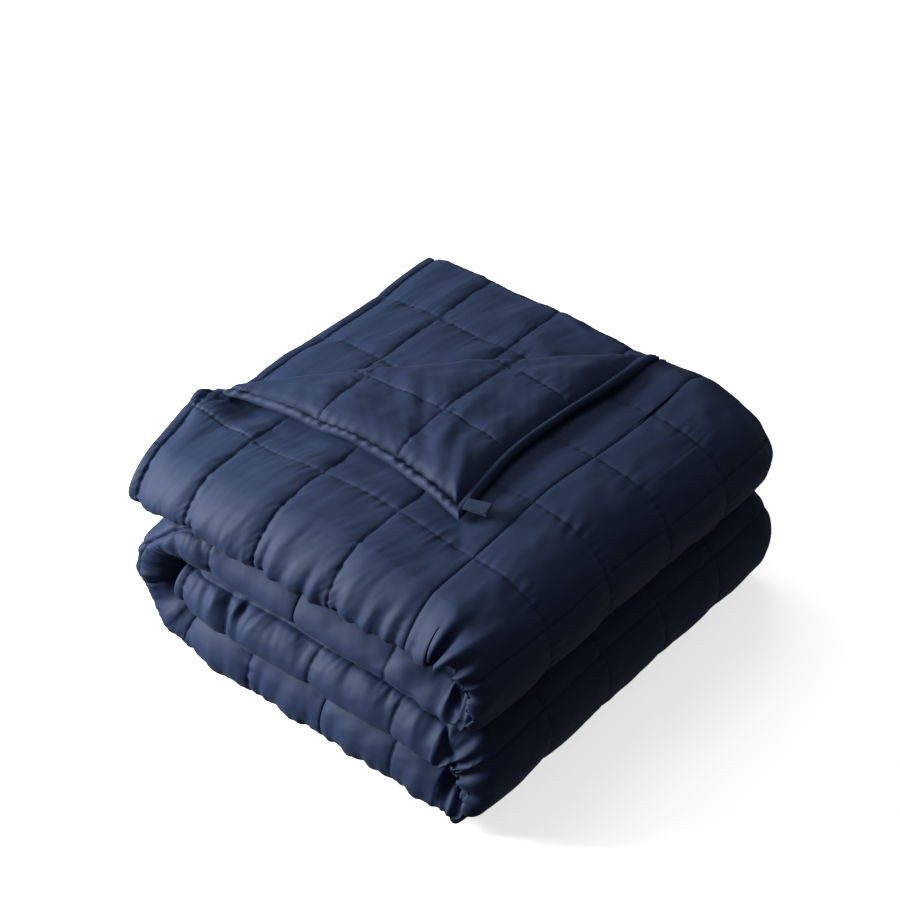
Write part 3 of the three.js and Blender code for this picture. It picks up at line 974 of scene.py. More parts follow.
    def surface(self, leg: np.ndarray) -> tuple[np.ndarray, np.ndarray, np.ndarray]:
        """Smooth surface of the piece, before its squares and gathers.

        Args:
            leg: places of the sections along the strip.

        Returns:
            The grid of points, each one's height in its section from -1 to 1, and the columns' bands.
        """
        across, height, bands = self.outline(leg)
        half = mixed_rows("half", leg)[:, None]
        shared = np.clip((height + half) / (2.0 * half), 0.0, 1.0)
        lifted = height + crown_at(leg[:, None], across) * shared
        x, z, heading = path_at(leg)
        points = np.stack([
            x[:, None] - lifted * np.sin(heading)[:, None],
            across,
            z[:, None] + lifted * np.cos(heading)[:, None],
        ], axis=2)
        return points, height / half, bands

    def relief(
        self, leg: np.ndarray, points: np.ndarray, level: np.ndarray, bands: np.ndarray
    ) -> tuple[np.ndarray, np.ndarray, np.ndarray]:
        """Height of the squares, gathers and creases over the smooth surface.

        Args:
            leg: places of the sections along the strip.
            points: the smooth surface.
            level: each point's height in its section.
            bands: the columns' bands.

        Returns:
            The height at each point, and each point's place along and across the cloth.
        """
        rng = np.random.default_rng(self.seed)
        face = Band.OUTER_FACE if self.shown is Third.OUTER else Band.BASE_FACE
        middle = int(np.median(np.flatnonzero(bands == face.value)))
        along = run_along(points[:, middle])
        step = np.linalg.norm(np.diff(points, axis=1), axis=2)
        across = np.concatenate([np.zeros((len(leg), 1)), np.cumsum(step, axis=1)], axis=1)
        run = along[:, None]

        cross_seams = [np.interp(k, leg, along) for k, is_sewn in zip(self.knots, self.sewn) if is_sewn]
        to_cross = np.min(np.abs(run - np.array(cross_seams)[None, :]), axis=1)[:, None]
        roll_at = np.flatnonzero(bands == Band.FRONT_ROLL.value)
        pinch_level = mixed_rows("pinch", leg)
        pinch = np.array([
            np.interp(-pinch_level[i], -level[i, roll_at], across[i, roll_at]) for i in range(len(leg))
        ])[:, None]
        rise = np.abs(across - pinch)
        to_long = rise
        faces = (
            (Band.OUTER_FACE, range(2, 6)),
            (Band.BASE_FACE, range(1, 5)),
            (Band.TUCKED_FACE, range(1, 5)),
        )
        for band, knots in faces:
            starts = self.knot_columns(band)
            for knot in knots:
                to_long = np.minimum(to_long, np.abs(across - across[:, starts[knot]][:, None]))
        nearest = np.minimum(to_cross, to_long)
        near_roll = np.exp(-((rise / ROLL_SWELL_REACH) ** 2))
        ends = smooth(np.minimum(run - along[0], along[-1] - run), 0.0, 14.0)

        swell = mixed_rows("swell", leg)[:, None] * (1.0 + ROLL_SWELL * near_roll)
        soft = self.soft * (1.0 + 0.5 * near_roll)
        height = quilting(to_cross, to_long, swell, soft) - 0.5 * swell
        height -= GROOVE_DEPTH * np.exp(-((nearest / GROOVE_WIDTH) ** 2))
        height += 0.42 * ripple(rng, run, across * 0.25, 10.0) * np.exp(-to_long / 9.0) * ends
        height += 0.50 * ripple(rng, run * 0.25, across, 11.0) * np.exp(-to_cross / 8.0) * ends
        for size, wave in ((0.60, 95.0), (0.22, 34.0), (0.11, 17.0)):
            height += size * ripple(rng, run, across, wave) * ends

        gathered = mixed_rows("gathered", leg)[:, None]
        roll_like = (bands == Band.FRONT_ROLL.value) | (bands == face.value)
        folds = np.zeros_like(height)
        near_seam = 0.3 + 0.7 * (1.0 - np.exp(-((rise / 7.0) ** 2)))
        for row in GATHERS:
            folds += self.fold(row, leg, run, rise, near_seam)
        for row in self.small_gathers(rng, leg, along):
            folds += self.fold(row, leg, run, rise, near_seam) * gathered
        height += folds * roll_like[None, :] * ends
        solid = 1.0 - 0.85 * mixed_rows("hollow", leg)[:, None]
        trough = PINCH_DEPTH * np.exp(-((rise / PINCH_WIDTH) ** 2))
        height -= trough * solid * (bands == Band.FRONT_ROLL.value)[None, :]

        if self.shown is Third.OUTER:
            x, y = points[..., 0], points[..., 1]
            faces_up = (bands == Band.OUTER_FACE.value) | (bands == Band.TUCKED_FACE.value)
            on_top = (leg < 1.15)[:, None] & faces_up
            pressed = PRESSED * smooth(CORNER.under(x, y), -30.0, 8.0)
            pressed = pressed * (bands == Band.OUTER_FACE.value)
            pressed = pressed * smooth(-CORNER.behind_crease(x, y), 0.0, 25.0)
            height += np.where(on_top, creased(TOP_CREASES, x, y), 0.0)
            height = height * self.showing(leg, points, level, bands)
            return height - np.where(on_top, pressed, 0.0), along, across
        return height * self.showing(leg, points, level, bands), along, across

    def fold(
        self, row: Gather, leg: np.ndarray, run: np.ndarray, rise: np.ndarray, near_seam: np.ndarray
    ) -> np.ndarray:
        """Height of one gather.

        Args:
            row: the gather.
            leg: places of the sections along the strip.
            run: the same places in millimetres, as a column.
            rise: each point's distance from the gathered seam.
            near_seam: how much of a gather is left close to the seam.

        Returns:
            The height at each point.
        """
        if not leg[0] <= row.leg <= leg[-1]:
            return np.zeros_like(rise)
        centre = np.interp(row.leg, leg, run[:, 0])
        side = np.abs(run - centre - row.lean * rise) / (row.width * (1.0 + rise / 40.0))
        return row.height * np.exp(-(side**1.7)) * np.exp(-((rise / row.reach) ** 2)) * near_seam

    def small_gathers(
        self, rng: np.random.Generator, leg: np.ndarray, along: np.ndarray
    ) -> list[Gather]:
        """Small uneven gathers between the main ones.

        Args:
            rng: source of their places and sizes.
            leg: places of the sections along the strip.
            along: the same places in millimetres.

        Returns:
            The gathers.
        """
        rows, place = [], along[0]
        while place < along[-1]:
            place += rng.uniform(4.0, 9.5)
            rows.append(Gather(
                leg=float(np.interp(place, along, leg)),
                height=float(rng.choice([-1.0, -1.0, 0.8]) * rng.uniform(0.5, 1.7)),
                width=float(rng.uniform(1.8, 3.4)),
                reach=float(rng.uniform(14.0, 40.0)),
                lean=float(rng.uniform(-0.3, 0.4)),
            ))
        return rows

    def knot_columns(self, band: Band) -> dict[int, int]:
        """Column at which each whole-numbered place of a band stands."""
        found, start = {}, 0
        for column in self.columns():
            if column.band is band:
                for index, place in enumerate(column.places):
                    if abs(place - round(place)) < 1e-9:
                        found[int(round(place))] = start + index
            start += column.places.size
        return found

    def showing(
        self, leg: np.ndarray, points: np.ndarray, level: np.ndarray, bands: np.ndarray
    ) -> np.ndarray:
        """Share of the relief that each place takes: all of it where it shows, none where hidden.

        Args:
            leg: places of the sections along the strip.
            points: the smooth surface.
            level: each point's height in its section.
            bands: the columns' bands.

        Returns:
            The share at each point.
        """
        x, y = points[..., 0], points[..., 1]
        row = leg[:, None]
        share = np.zeros(points.shape[:2])
        roll = bands == Band.FRONT_ROLL.value
        fold = bands == Band.BACK_FOLD.value
        outer = bands == Band.OUTER_FACE.value
        share[:, fold] = 0.8 * smooth(level, -1.0, -0.75)[:, fold]
        if self.shown is Third.OUTER:
            facing = (1.0 - smooth(row, 1.9, 2.2)) + 0.0 * y
            covered = smooth(row, 1.9, 2.2) * smooth(level, 0.8, 1.0)
            bare_side = smooth(level, -1.0, -0.80) * (1.0 - covered)
            share[:, roll] = bare_side[:, roll]
            share[:, outer] = facing[:, outer]
            tucked = bands == Band.TUCKED_FACE.value
            bare = smooth(CORNER.behind_crease(x, y), 6.0, 30.0) * (row < 1.0) * (x < TOP_BARE_X)
            share[:, tucked] = bare[:, tucked]
            hidden = np.where(row < 1.0, 1.0 - 0.9 * smooth(CORNER.under(x, y), 6.0, 28.0), 1.0)
            share[:, outer] *= hidden[:, outer]
            return share
        resting = smooth(row, 4.0, 4.12) * (1.0 - smooth(row, 4.88, 5.0))
        stacked = smooth(row, 5.9, 6.1) + (1.0 - smooth(row, 2.85, 3.05))
        facing = np.clip(1.0 - resting - stacked, 0.0, 1.0) + 0.0 * y
        base = bands == Band.BASE_FACE.value
        share[:, base] = facing[:, base]
        outer_edge = 1.0 - smooth(level, 0.80, 1.0)
        base_edge = 1.0 - (1.0 - facing) * (1.0 - smooth(level, -1.0, -0.80))
        share[:, roll] = (outer_edge * base_edge)[:, roll]
        return share

    def settle(self, points: np.ndarray) -> np.ndarray:
        """Pushes the cloth where it slumps or stands fuller."""
        settled = points.copy()
        for row in SETTLINGS:
            away = points - np.array([row.x, row.y, row.z])
            near = np.exp(-np.sum(away * away, axis=2) / (2.0 * row.reach**2))
            settled += near[..., None] * np.array([row.dx, row.dy, row.dz])
        return waved(settled)

    def build(self) -> tuple[bpy.types.Object, list[SeamLine]]:
        """Builds the piece.

        Returns:
            The piece, and the lines of stitching on it.
        """
        leg = self.stations()
        points, level, bands = self.surface(leg)
        if self.shown is Third.OUTER:
            points = self.swell_bare_cloth(leg, points, bands)
        height, along, across = self.relief(leg, points, level, bands)
        normals = normals_of(points, closed=True)
        row = len(leg) // 3
        front_column = int(np.argmin(points[row, :, 1]))
        if normals[row, front_column, 1] > 0:
            normals = -normals
        shaped = self.settle(points + normals * height[..., None])
        shaped[..., 2] = np.maximum(shaped[..., 2], 0.0)
        faces = self.ring_faces(*shaped.shape[:2])
        faces += self.cap(leg, 0) + self.cap(leg, len(leg) - 1)
        places = np.stack([np.broadcast_to(along[:, None], across.shape), across], axis=2)
        corners, flat = shaped.reshape(-1, 3), places.reshape(-1, 2)
        piece = make_piece(self.name, corners, faces, flat, NAVY_CLOTH)
        return piece, self.seam_lines(leg, shaped, normals, bands)

    def swell_bare_cloth(self, leg: np.ndarray, points: np.ndarray, bands: np.ndarray) -> np.ndarray:
        """Raises the tucked third where the turned-back corner leaves it bare."""
        swollen = points.copy()
        x, y = points[..., 0], points[..., 1]
        bare = smooth(CORNER.behind_crease(x, y), 14.0, 70.0) * smooth(TOP_BARE_X - x, 0.0, 60.0)
        on_top = (leg < 1.0)[:, None]
        rise = np.clip((points[..., 2] - Z_TOP) / 12.0, 0.0, 1.0)
        over = (bands == Band.TUCKED_FACE.value) + (bands == Band.BACK_FOLD.value) * rise
        swollen[..., 2] += BARE_SWELL * bare * over * on_top
        return swollen

    def ring_faces(self, rows: int, count: int) -> list[tuple[int, ...]]:
        """Faces between neighbouring sections."""
        i, j = np.meshgrid(np.arange(rows - 1), np.arange(count), indexing="ij")
        after = (j + 1) % count
        corners = (i * count + j, (i + 1) * count + j, (i + 1) * count + after, i * count + after)
        return [tuple(face) for face in np.stack(corners, axis=2).reshape(-1, 4).tolist()]

    def cap(self, leg: np.ndarray, row: int) -> list[tuple[int, ...]]:
        """Faces that close one end of the piece, turned the same way out as its sides."""
        across, height, _ = self.outline(leg[row : row + 1])
        ring = np.stack([across[0], height[0]], axis=1)
        loop = [Vector((y, n, 0.0)) for y, n in ring]
        start = row * len(ring)
        # In ring order a triangle is turned as the ring is, so the far end's are turned back.
        turned = [sorted(face, reverse=row > 0) for face in tessellate_polygon([loop])]
        return [tuple(start + corner for corner in face) for face in turned]

    def seam_lines(
        self, leg: np.ndarray, points: np.ndarray, normals: np.ndarray, bands: np.ndarray
    ) -> list[SeamLine]:
        """Lines of stitching where seams show.

        Args:
            leg: places of the sections along the strip.
            points: the finished surface.
            normals: the surface's normals.
            bands: the columns' bands.

        Returns:
            The lines.
        """
        is_outer = self.shown is Third.OUTER
        face = Band.OUTER_FACE if is_outer else Band.BASE_FACE
        columns = self.knot_columns(face)
        on_wrap, on_bend = (leg > 3.05) & (leg < 3.95), (leg > 5.05) & (leg < 5.95)
        shown = leg <= 1.85 if is_outer else on_wrap | on_bend
        rows = np.flatnonzero(shown)
        lines = []
        for knot in range(1, 6) if is_outer else range(1, 5):
            line, up = points[rows, columns[knot]], normals[rows, columns[knot]]
            bare = np.ones(len(rows), bool)
            if is_outer:
                # A seam ends where the hem stitch cuts across it, and stops under the corner.
                stitch = outer_hem_y(leg[rows]) - HEM_STITCH
                on_top = leg[rows] < 1.0
                bare = ~on_top | (CORNER.under(line[:, 0], line[:, 1]) < 4.0)
                before_stitch = (knot > 1) & (line[:, 1] < stitch - 1.0)
                bare &= (knot == 1) & (stitch > LONG_SEAMS[0]) | before_stitch
            if bare.sum() > 3:
                lines.append(SeamLine(line[bare], up[bare]))
        wanted = np.flatnonzero((bands == face.value) | (bands == Band.FRONT_ROLL.value))
        for place, is_sewn in zip(self.knots, self.sewn):
            row = int(np.argmin(np.abs(leg - place)))
            if not is_sewn or not shown[row]:
                continue
            line, up = points[row, wanted], normals[row, wanted]
            bare = np.ones(len(wanted), bool)
            if is_outer and leg[row] < 1.0:
                bare = CORNER.under(line[:, 0], line[:, 1]) < 4.0
            lines.append(SeamLine(line[bare], up[bare]))
        return lines


# ---- The turned-back corner --------------------------------------------------------------------


@dataclass
class TurnedCorner:
    """The corner of the outer third, turned back over the top with its reverse showing.

    Its cloth is a grid of distances from its two hems, laid flat over the stack as far as the
    crease, then carried round the crease and back under.
    """

    name: str = "turned_corner"
    square: float = 104.0
    spare: float = 16.0
    steps: int = 44
    hem_steps: int = 14
    bow_right: float = 17.0
    bow_front: float = 20.0
    bow_reach: float = 90.0
    puff: float = 3.2
    soft: float = 9.0
    pressed: float = 3.0
    hem_half: float = 3.5
    stitch_half: float = 1.3
    lift_at_left: float = 4.0
    lift_at_right: float = 5.0
    hem_lift: float = 6.0
    cut_at_ends: float = 0.78
    past_crease: float = 12.0
    seed: int = 31

    def distances(self) -> np.ndarray:
        """Grid distances from a hem."""
        seams = [k * self.square for k in range(1, 4)]
        knots = (0.0, HEM_STITCH, *seams, 4 * self.square + self.spare)
        counts = (self.hem_steps, *(self.steps,) * 4)
        parts = [
            low + (high - low) * graded(count, CORNER_CROWDING)
            for low, high, count in zip(knots, knots[1:], counts)
        ]
        return np.concatenate([*parts, [knots[-1]]])

    def ahead(self, right: np.ndarray, front: np.ndarray) -> np.ndarray:
        """Distance from the crease's middle line towards the tip, less than 0 behind the line."""
        return -CORNER.behind_crease(CORNER.tip_x - right, CORNER.tip_y + front)

    def lift(self, x: np.ndarray, y: np.ndarray) -> np.ndarray:
        """How far the cloth stands up near the two ends of the crease."""
        from_left = np.hypot(x - CORNER.tip_x + CORNER.side, y - CORNER.tip_y)
        from_right = np.hypot(x - CORNER.tip_x, y - CORNER.tip_y - CORNER.side)
        at_left = self.lift_at_left * np.exp(-((from_left / 62.0) ** 2))
        return at_left + self.lift_at_right * np.exp(-((from_right / 55.0) ** 2))

    def middle(self, right: np.ndarray, front: np.ndarray) -> tuple[np.ndarray, np.ndarray]:
        """Middle surface of the cloth.

        Args:
            right: distances from the hem that runs along Y.
            front: distances from the hem that runs along X.

        Returns:
            The places, and the radius of the crease by each of them, in millimetres.
        """
        place = CORNER
        ahead = self.ahead(right, front)
        arc_x = np.sin(math.pi * np.clip(front / place.side, 0, 1))
        arc_y = np.sin(math.pi * np.clip(right / place.side, 0, 1))
        bow_x = self.bow_right * arc_x * np.exp(-right / self.bow_reach)
        bow_y = self.bow_front * arc_y * np.exp(-front / self.bow_reach)
        x = place.tip_x - right - bow_x
        y = place.tip_y + front + bow_y
        lying = ahead >= 0
        tuck = np.minimum(ahead, 0.0) / math.sqrt(2.0)
        crease_x, crease_y = x - tuck, y + tuck
        top = top_height(crease_x, crease_y)
        flat_z = top + place.air + place.thickness / 2.0 + self.lift(crease_x, crease_y)
        flat_z -= self.pressed * smooth(ahead, 10.0, 60.0)
        # The front hem stands clear of the stack between the crease's left end and its own middle.
        along_hem = np.exp(-(((x + 130.0) / 75.0) ** 2))
        by_hem = np.exp(-((front / 50.0) ** 2)) * smooth(ahead, 0.0, 30.0)
        flat_z += self.hem_lift * along_hem * by_hem
        half = mixed_rows("half", np.clip(top_leg(crease_x), 0.0, 1.0))
        cloth = (2.0 * half - 2.0 * SLIT) / 3.0
        inner_z = top - cloth / 2.0 * (1.0 - 0.65 * place.towards_ends(crease_x, crease_y))
        radius = (flat_z - inner_z) / 2.0
        behind = np.maximum(-ahead, 0.0)
        turned = np.minimum(behind / radius, math.pi)
        out = radius * np.sin(turned) - np.maximum(behind - math.pi * radius, 0.0)
        x = np.where(lying, x, crease_x - out / math.sqrt(2.0))
        y = np.where(lying, y, crease_y + out / math.sqrt(2.0))
        z = np.where(lying, flat_z, flat_z - radius * (1.0 - np.cos(turned)))
        return np.stack([x, y, z], axis=2), radius

    def half_thickness(self, inside: np.ndarray) -> np.ndarray:
        """Half the cloth's thickness: a hem like a tube, the hem's stitching, then filled cloth."""
        past = np.clip(inside / HEM_STITCH, 0.0, 1.0)
        tube = self.hem_half * np.sqrt(np.maximum(np.sin(math.pi * past), 0.0))
        stitched = self.stitch_half * np.sqrt(np.clip(inside / 2.0, 0.0, 1.0))
        grown = 1.0 - np.exp(-np.maximum(inside - HEM_STITCH, 0.0) / 9.0)
        filled = self.stitch_half + (CORNER.thickness / 2.0 - self.stitch_half) * grown
        return np.where(inside < HEM_STITCH, np.maximum(tube, stitched), filled)

    def relief(self, right: np.ndarray, front: np.ndarray, middle: np.ndarray) -> np.ndarray:
        """Height of the squares and creases over the smooth cloth.

        Args:
            right: distances from the hem that runs along Y.
            front: distances from the hem that runs along X.
            middle: the middle surface.

        Returns:
            The height at each point.
        """
        rng = np.random.default_rng(self.seed)
        ahead = self.ahead(right, front)
        inside = np.minimum(right, front)
        lines = self.square * np.arange(1, 4)
        to_stitch = np.abs(inside - HEM_STITCH)
        to_right = np.min(np.abs(right[..., None] - lines), axis=2)
        to_front = np.min(np.abs(front[..., None] - lines), axis=2)
        swell = self.puff * (0.2 + 0.8 * smooth(ahead, 0.0, 25.0))
        near_right, near_front = np.minimum(to_right, to_stitch), np.minimum(to_front, to_stitch)
        height = quilting(near_right, near_front, swell, self.soft)
        height -= GROOVE_DEPTH * np.exp(-((np.minimum(to_right, to_front) / GROOVE_WIDTH) ** 2))
        height += 0.55 * ripple(rng, right * 0.25, front, 10.0) * np.exp(-to_right / 9.0)
        height += 0.55 * ripple(rng, right, front * 0.25, 10.0) * np.exp(-to_front / 9.0)
        height += 0.80 * ripple(rng, right, front, 80.0) + 0.26 * ripple(rng, right, front, 30.0)
        height += 0.11 * ripple(rng, right, front, 15.0)
        creases = creased(CORNER_CREASES, middle[..., 0], middle[..., 1])
        height += creases * smooth(ahead, -10.0, 12.0)
        height *= smooth(inside, HEM_STITCH - 1.0, HEM_STITCH + 7.0)

        # The front hem is drawn up in fine pleats, and the right one is smooth.
        pleats = ripple(rng, right + 0.3 * front, 0.15 * front, 9.0)
        height += 0.8 * pleats * np.exp(-((front / 17.0) ** 2)) * smooth(right, 6.0, 26.0)
        return height * smooth(inside, 0.0, 3.0)

    def build(self) -> tuple[bpy.types.Object, list[SeamLine]]:
        """Builds the corner.

        Returns:
            The piece, and the lines of stitching on it.
        """
        steps = self.distances()
        right, front = np.meshgrid(steps, steps, indexing="ij")
        inside = np.minimum(right, front)
        ahead = self.ahead(right, front)
        middle, radius = self.middle(right, front)
        normals = normals_of(middle, closed=False)
        if normals[20, 20, 2] < 0:
            normals = -normals
        half = self.half_thickness(inside)
        on_stack = smooth(ahead, 0.0, 20.0)
        middle[..., 2] -= (CORNER.thickness / 2.0 - half) * on_stack
        waves = ripple(np.random.default_rng(self.seed + 1), right, front, 70.0)
        middle[..., 2] += 0.9 * (waves + 1.4) * smooth(20.0 - inside, 0.0, 20.0) * on_stack
        upper = waved(middle + normals * (half + self.relief(right, front, middle))[..., None])
        lower = waved(middle - normals * half[..., None])

        # The crease's two ends are open, so the cloth goes less far round there.
        at_ends = CORNER.towards_ends(CORNER.tip_x - right, CORNER.tip_y + front)
        round_crease = math.pi * radius * (1.0 - self.cut_at_ends * at_ends)
        limit = ahead > -(round_crease + self.past_crease * (1.0 - at_ends))
        cells = limit[:-1, :-1] & limit[1:, :-1] & limit[:-1, 1:] & limit[1:, 1:]
        points, faces = joined_sheets(upper, lower, cells)
        places = np.stack([right, front], axis=2).reshape(-1, 2)
        piece = make_piece(self.name, points, faces, np.vstack([places, places]), NAVY_REVERSE)
        return piece, self.seam_lines(steps, upper, normals, ahead)

    def seam_lines(
        self, steps: np.ndarray, upper: np.ndarray, normals: np.ndarray, ahead: np.ndarray
    ) -> list[SeamLine]:
        """Lines of stitching on the corner.

        Args:
            steps: the grid's distances from each hem.
            upper: the upper surface.
            normals: the surface's normals.
            ahead: each point's distance ahead of the crease.

        Returns:
            The lines.
        """
        lines = []
        for distance in (HEM_STITCH, self.square, 2 * self.square, 3 * self.square):
            row = int(np.argmin(np.abs(steps - distance)))
            along_y = (upper[row], normals[row], ahead[row])
            along_x = (upper[:, row], normals[:, row], ahead[:, row])
            for points, normal, reach in (along_y, along_x):
                keep = (reach > -14.0) & (steps > HEM_STITCH - 1.0)
                if keep.sum() > 3:
                    lines.append(SeamLine(points[keep], normal[keep]))
        return lines


# ---- The tape loop and the stitches --------------------------------------------------------------


@dataclass
class CornerTab:
    """The loop of tape sewn into the corner's hem, lying nearly flat."""

    name: str = "tape_loop"
    length: float = 21.0
    width: float = 16.0
    tape: float = 1.2
    air: float = 1.2
    sewn_in: float = 5.0
    swing: float = 0.24
    climb: float = 0.045
    twist: float = 1.5
    steps: int = 22
    turn_steps: int = 8
    across: int = 12

    def build(self) -> bpy.types.Object:
        """Builds the loop as one strip of tape that runs out, turns and runs back."""
        low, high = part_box("corner_tab")
        start = np.array([low[0], (low[1] + high[1]) / 2.0, (low[2] + high[2]) / 2.0]) / MM
        start[0] -= CENTRE_SHIFT
        radius = (self.air + self.tape) / 2.0
        straight = self.length + self.sewn_in - radius
        path = [(-self.sewn_in + straight * k / self.steps, -radius) for k in range(self.steps)]
        for k in range(self.turn_steps + 1):
            turn = -math.pi / 2.0 + math.pi * k / self.turn_steps
            out = -self.sewn_in + straight + radius * math.cos(turn)
            path.append((out, radius * math.sin(turn)))
        for k in range(1, self.steps + 1):
            path.append((-self.sewn_in + straight * (1 - k / self.steps), radius))
        centre = np.array(path)
        tangent = np.gradient(centre, axis=0)
        tangent /= np.linalg.norm(tangent, axis=1)[:, None]
        outward = np.stack([tangent[:, 1], -tangent[:, 0]], axis=1)
        grids = []
        side = np.linspace(-1.0, 1.0, self.across + 1)
        edge = np.sqrt(1.0 - 0.75 * np.abs(side) ** 8)
        for sign in (1.0, -1.0):
            half = (self.tape / 2.0 * edge)[None, :, None]
            body = centre[:, None, :] + sign * outward[:, None, :] * half
            out = body[..., 0]
            lateral = side[None, :] * self.width / 2.0 * (1.0 - 0.02 * np.cos(out / 3.0))
            twist = self.twist * (out / self.length) ** 2 * side[None, :]
            rise = body[..., 1] + self.climb * out + twist
            x = start[0] + out * math.cos(self.swing) - lateral * math.sin(self.swing)
            y = start[1] + out * math.sin(self.swing) + lateral * math.cos(self.swing)
            grids.append(waved(np.stack([x, y, start[2] + rise], axis=2)))
        cells = np.ones((grids[0].shape[0] - 1, self.across), bool)
        points, faces = joined_sheets(grids[0], grids[1], cells)
        run = run_along(centre)
        flat = np.meshgrid(run, side * self.width / 2.0, indexing="ij")
        places = np.stack(flat, axis=2).reshape(-1, 2)
        return make_piece(self.name, points, faces, np.vstack([places, places]), NAVY_TAPE)


@dataclass
class SeamStitches:
    """Rows of short stitches that lie in the seams."""

    name: str = "seam_stitches"
    pitch: float = 3.6
    length: float = 2.5
    thickness: float = 0.62
    proud: float = 0.25
    sides: int = 6

    def build(self, lines: list[SeamLine]) -> bpy.types.Object:
        """Builds all the stitches as one joined mesh.

        Args:
            lines: the lines of stitching.

        Returns:
            The piece.
        """
        points, faces, places = [], [], []
        for line in lines:
            run = run_along(line.points)
            for middle in np.arange(self.pitch, run[-1] - self.pitch, self.pitch):
                wanted = ((middle, line.points), (middle + 0.5, line.points), (middle, line.normals))
                here, ahead, up = (
                    np.array([np.interp(at, run, values[:, k]) for k in range(3)])
                    for at, values in wanted
                )
                forward = ahead - here
                size = np.linalg.norm(forward)
                if size < 1e-6:
                    continue
                forward /= size
                up = up / max(np.linalg.norm(up), 1e-6)
                side = np.cross(forward, up)
                first = len(points)
                for along, swell in ((-0.5, 0.45), (-0.36, 1.0), (0.36, 1.0), (0.5, 0.45)):
                    centre = here + up * self.proud + forward * self.length * along
                    for k in range(self.sides):
                        turn = 2.0 * math.pi * k / self.sides
                        ring = side * math.cos(turn) + up * math.sin(turn)
                        points.append(centre + ring * self.thickness / 2.0 * swell)
                        places.append((middle + along, turn))
                for ring in range(3):
                    start = first + ring * self.sides
                    for k in range(self.sides):
                        a, b = start + k, start + (k + 1) % self.sides
                        faces.append((a, b, b + self.sides, a + self.sides))
                faces.append(tuple(first + k for k in reversed(range(self.sides))))
                faces.append(tuple(first + 3 * self.sides + k for k in range(self.sides)))
        return make_piece(self.name, np.array(points), faces, np.array(places), NAVY_THREAD)


# ---- The whole blanket ---------------------------------------------------------------------------


@dataclass
class Blanket:
    """The folded blanket: four pieces of its strip, the turned-back corner, tab and stitches."""

    top_seams: tuple[float, ...] = (-145.5, -48.0, 49.5, 147.0)
    upper_bend_seams: tuple[float, ...] = (1.38, 1.88)
    wrap_seams: tuple[float, ...] = (3.25, 3.60, 3.94)
    lower_bend_seams: tuple[float, ...] = (5.22, 5.70)

    def runs(self) -> tuple[FoldedRun, ...]:
        """The pieces of the folded strip, from its top hem to its tucked hem."""
        top = tuple(top_leg(x) for x in self.top_seams)
        second = (second_leg(110), second_leg(-11), second_leg(-128))
        bottom = (bottom_leg(-74), bottom_leg(29), bottom_leg(126))
        third = (third_leg(129), third_leg(18), third_leg(-98))
        tucked_stitch = third_leg(TUCKED_HEM_X + HEM_STITCH)
        return (
            FoldedRun(
                name="top_run", shown=Third.OUTER, seed=11, hem_x=TOP_HEM_X,
                knots=(0.0, top_leg(TOP_HEM_X + HEM_STITCH), *top),
                sewn=(False, True, True, True, True, True),
                steps=(12, 54, 62, 62, 62),
            ),
            FoldedRun(
                name="upper_bend", shown=Third.OUTER, seed=17,
                knots=(top[-1], *self.upper_bend_seams, *second[:2]),
                sewn=(True,) * 5, steps=(66, 62, 56, 56),
            ),
            FoldedRun(
                name="wrap_fold", shown=Third.BASE, seed=23,
                knots=(*second[1:], *self.wrap_seams, *bottom[:2]),
                sewn=(True,) * 7, steps=(56, 54, 56, 54, 54, 54),
            ),
            FoldedRun(
                name="lower_fold", shown=Third.BASE, seed=37, hem_x=TUCKED_HEM_X,
                knots=(*bottom[1:], *self.lower_bend_seams, *third, tucked_stitch, 7.0),
                sewn=(True,) * 8 + (False,), steps=(48, 52, 52, 56, 54, 54, 28, 8),
            ),
        )

    def build(self) -> None:
        """Builds every piece, hangs each on the root body, and hides the model's blanket and corner
        tab.
        """
        lines: list[SeamLine] = []
        for builder in (*self.runs(), TurnedCorner()):
            piece, sewn = builder.build()
            lines += sewn
            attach(piece, "root")
            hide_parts("blanket")

        stitches = SeamStitches().build(lines)
        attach(stitches, "root")

        maker = CornerTab()
        tab = maker.build()
        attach(tab, "root")
        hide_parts("corner_tab")


# ---- Studio ------------------------------------------------------------------------------------


@dataclass
class Softbox:
    """A soft rectangular light aimed at a place on the stack."""

    name: str
    place: tuple[float, float, float]
    aim: tuple[float, float, float]
    size: float
    power: float

    def build(self) -> bpy.types.Object:
        """Makes the light."""
        light = bpy.data.lights.new(self.name, "AREA")
        light.shape = "SQUARE"
        light.size = self.size
        light.energy = self.power
        lamp = bpy.data.objects.new(self.name, light)
        lamp.location = self.place
        aim = Vector(self.aim) - Vector(self.place)
        lamp.rotation_euler = aim.to_track_quat("-Z", "Y").to_euler()
        bpy.context.scene.collection.objects.link(lamp)
        return lamp


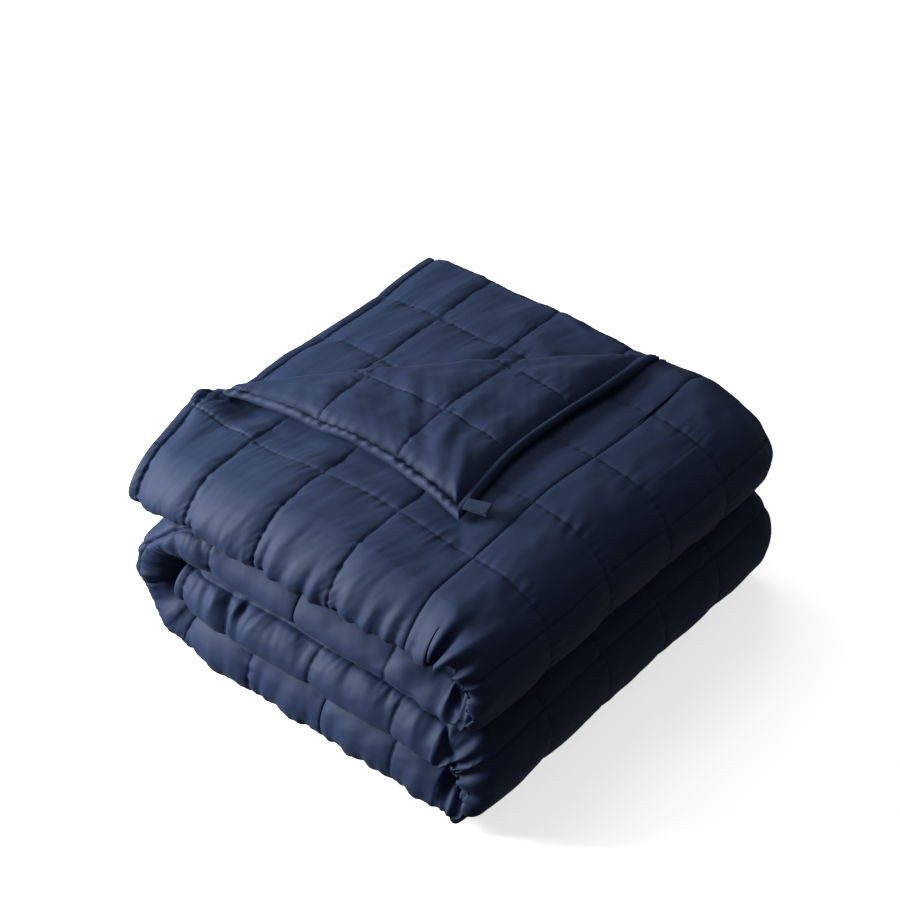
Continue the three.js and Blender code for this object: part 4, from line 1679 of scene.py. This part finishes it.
@dataclass
class Studio:
    """Pale floor, soft light and the camera."""

    floor_size: float = 14.0
    camera_place: tuple[float, float, float] = (1.2476, -1.5165, 1.7909)
    camera_look: tuple[float, float, float] = (-0.4982, 0.6017, -0.6243)
    lens: float = 96.0

    def build(self) -> None:
        """Makes the floor, the lights and the camera."""
        mesh = bpy.data.meshes.new("floor")
        half = self.floor_size / 2.0
        corners = [(-half, -half, 0), (half, -half, 0), (half, half, 0), (-half, half, 0)]
        mesh.from_pydata(corners, [], [(0, 1, 2, 3)])
        floor = bpy.data.objects.new("floor", mesh)
        paint = bpy.data.materials.new("pale_floor")
        paint.use_nodes = True
        shader = paint.node_tree.nodes["Principled BSDF"]
        shader.inputs["Base Color"].default_value = (0.93, 0.93, 0.94, 1.0)
        shader.inputs["Roughness"].default_value = 0.9
        shader.inputs["Specular IOR Level"].default_value = 0.0
        shader.inputs["Emission Color"].default_value = (1.0, 1.0, 1.0, 1.0)
        shader.inputs["Emission Strength"].default_value = 0.70
        mesh.materials.append(paint)
        bpy.context.scene.collection.objects.link(floor)
        # The floor stays bright in the picture and throws no light up under the rolls.
        floor.visible_diffuse = False
        floor.visible_glossy = False

        for light in (
            Softbox("key", place=(-1.42, -1.06, 0.80), aim=(0.0, -0.1, 0.14), size=0.9, power=98.0),
            Softbox("overhead", place=(-0.9, 0.6, 3.0), aim=(0.0, 0.0, 0.0), size=1.6, power=26.0),
        ):
            light.build()

        world = bpy.data.worlds.new("studio")
        world.use_nodes = True
        sky = world.node_tree.nodes["Background"]
        sky.inputs["Color"].default_value = (1.0, 1.0, 1.0, 1.0)
        sky.inputs["Strength"].default_value = 0.14
        bpy.context.scene.world = world
        bpy.context.scene.view_settings.view_transform = "Standard"

        data = bpy.data.cameras.new("camera")
        data.lens = self.lens
        data.sensor_width = 36.0
        camera = bpy.data.objects.new("camera", data)
        camera.location = self.camera_place
        camera.rotation_euler = Vector(self.camera_look).to_track_quat("-Z", "Y").to_euler()
        bpy.context.scene.collection.objects.link(camera)
        bpy.context.scene.camera = camera


def main() -> None:
    """Builds the studio and the blanket."""
    logging.basicConfig(level=logging.INFO, format="%(message)s")
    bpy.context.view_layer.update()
    Studio().build()
    LOG.info("the studio is built")
    Blanket().build()
    bpy.context.view_layer.update()


if __name__ == "__main__":
    main()
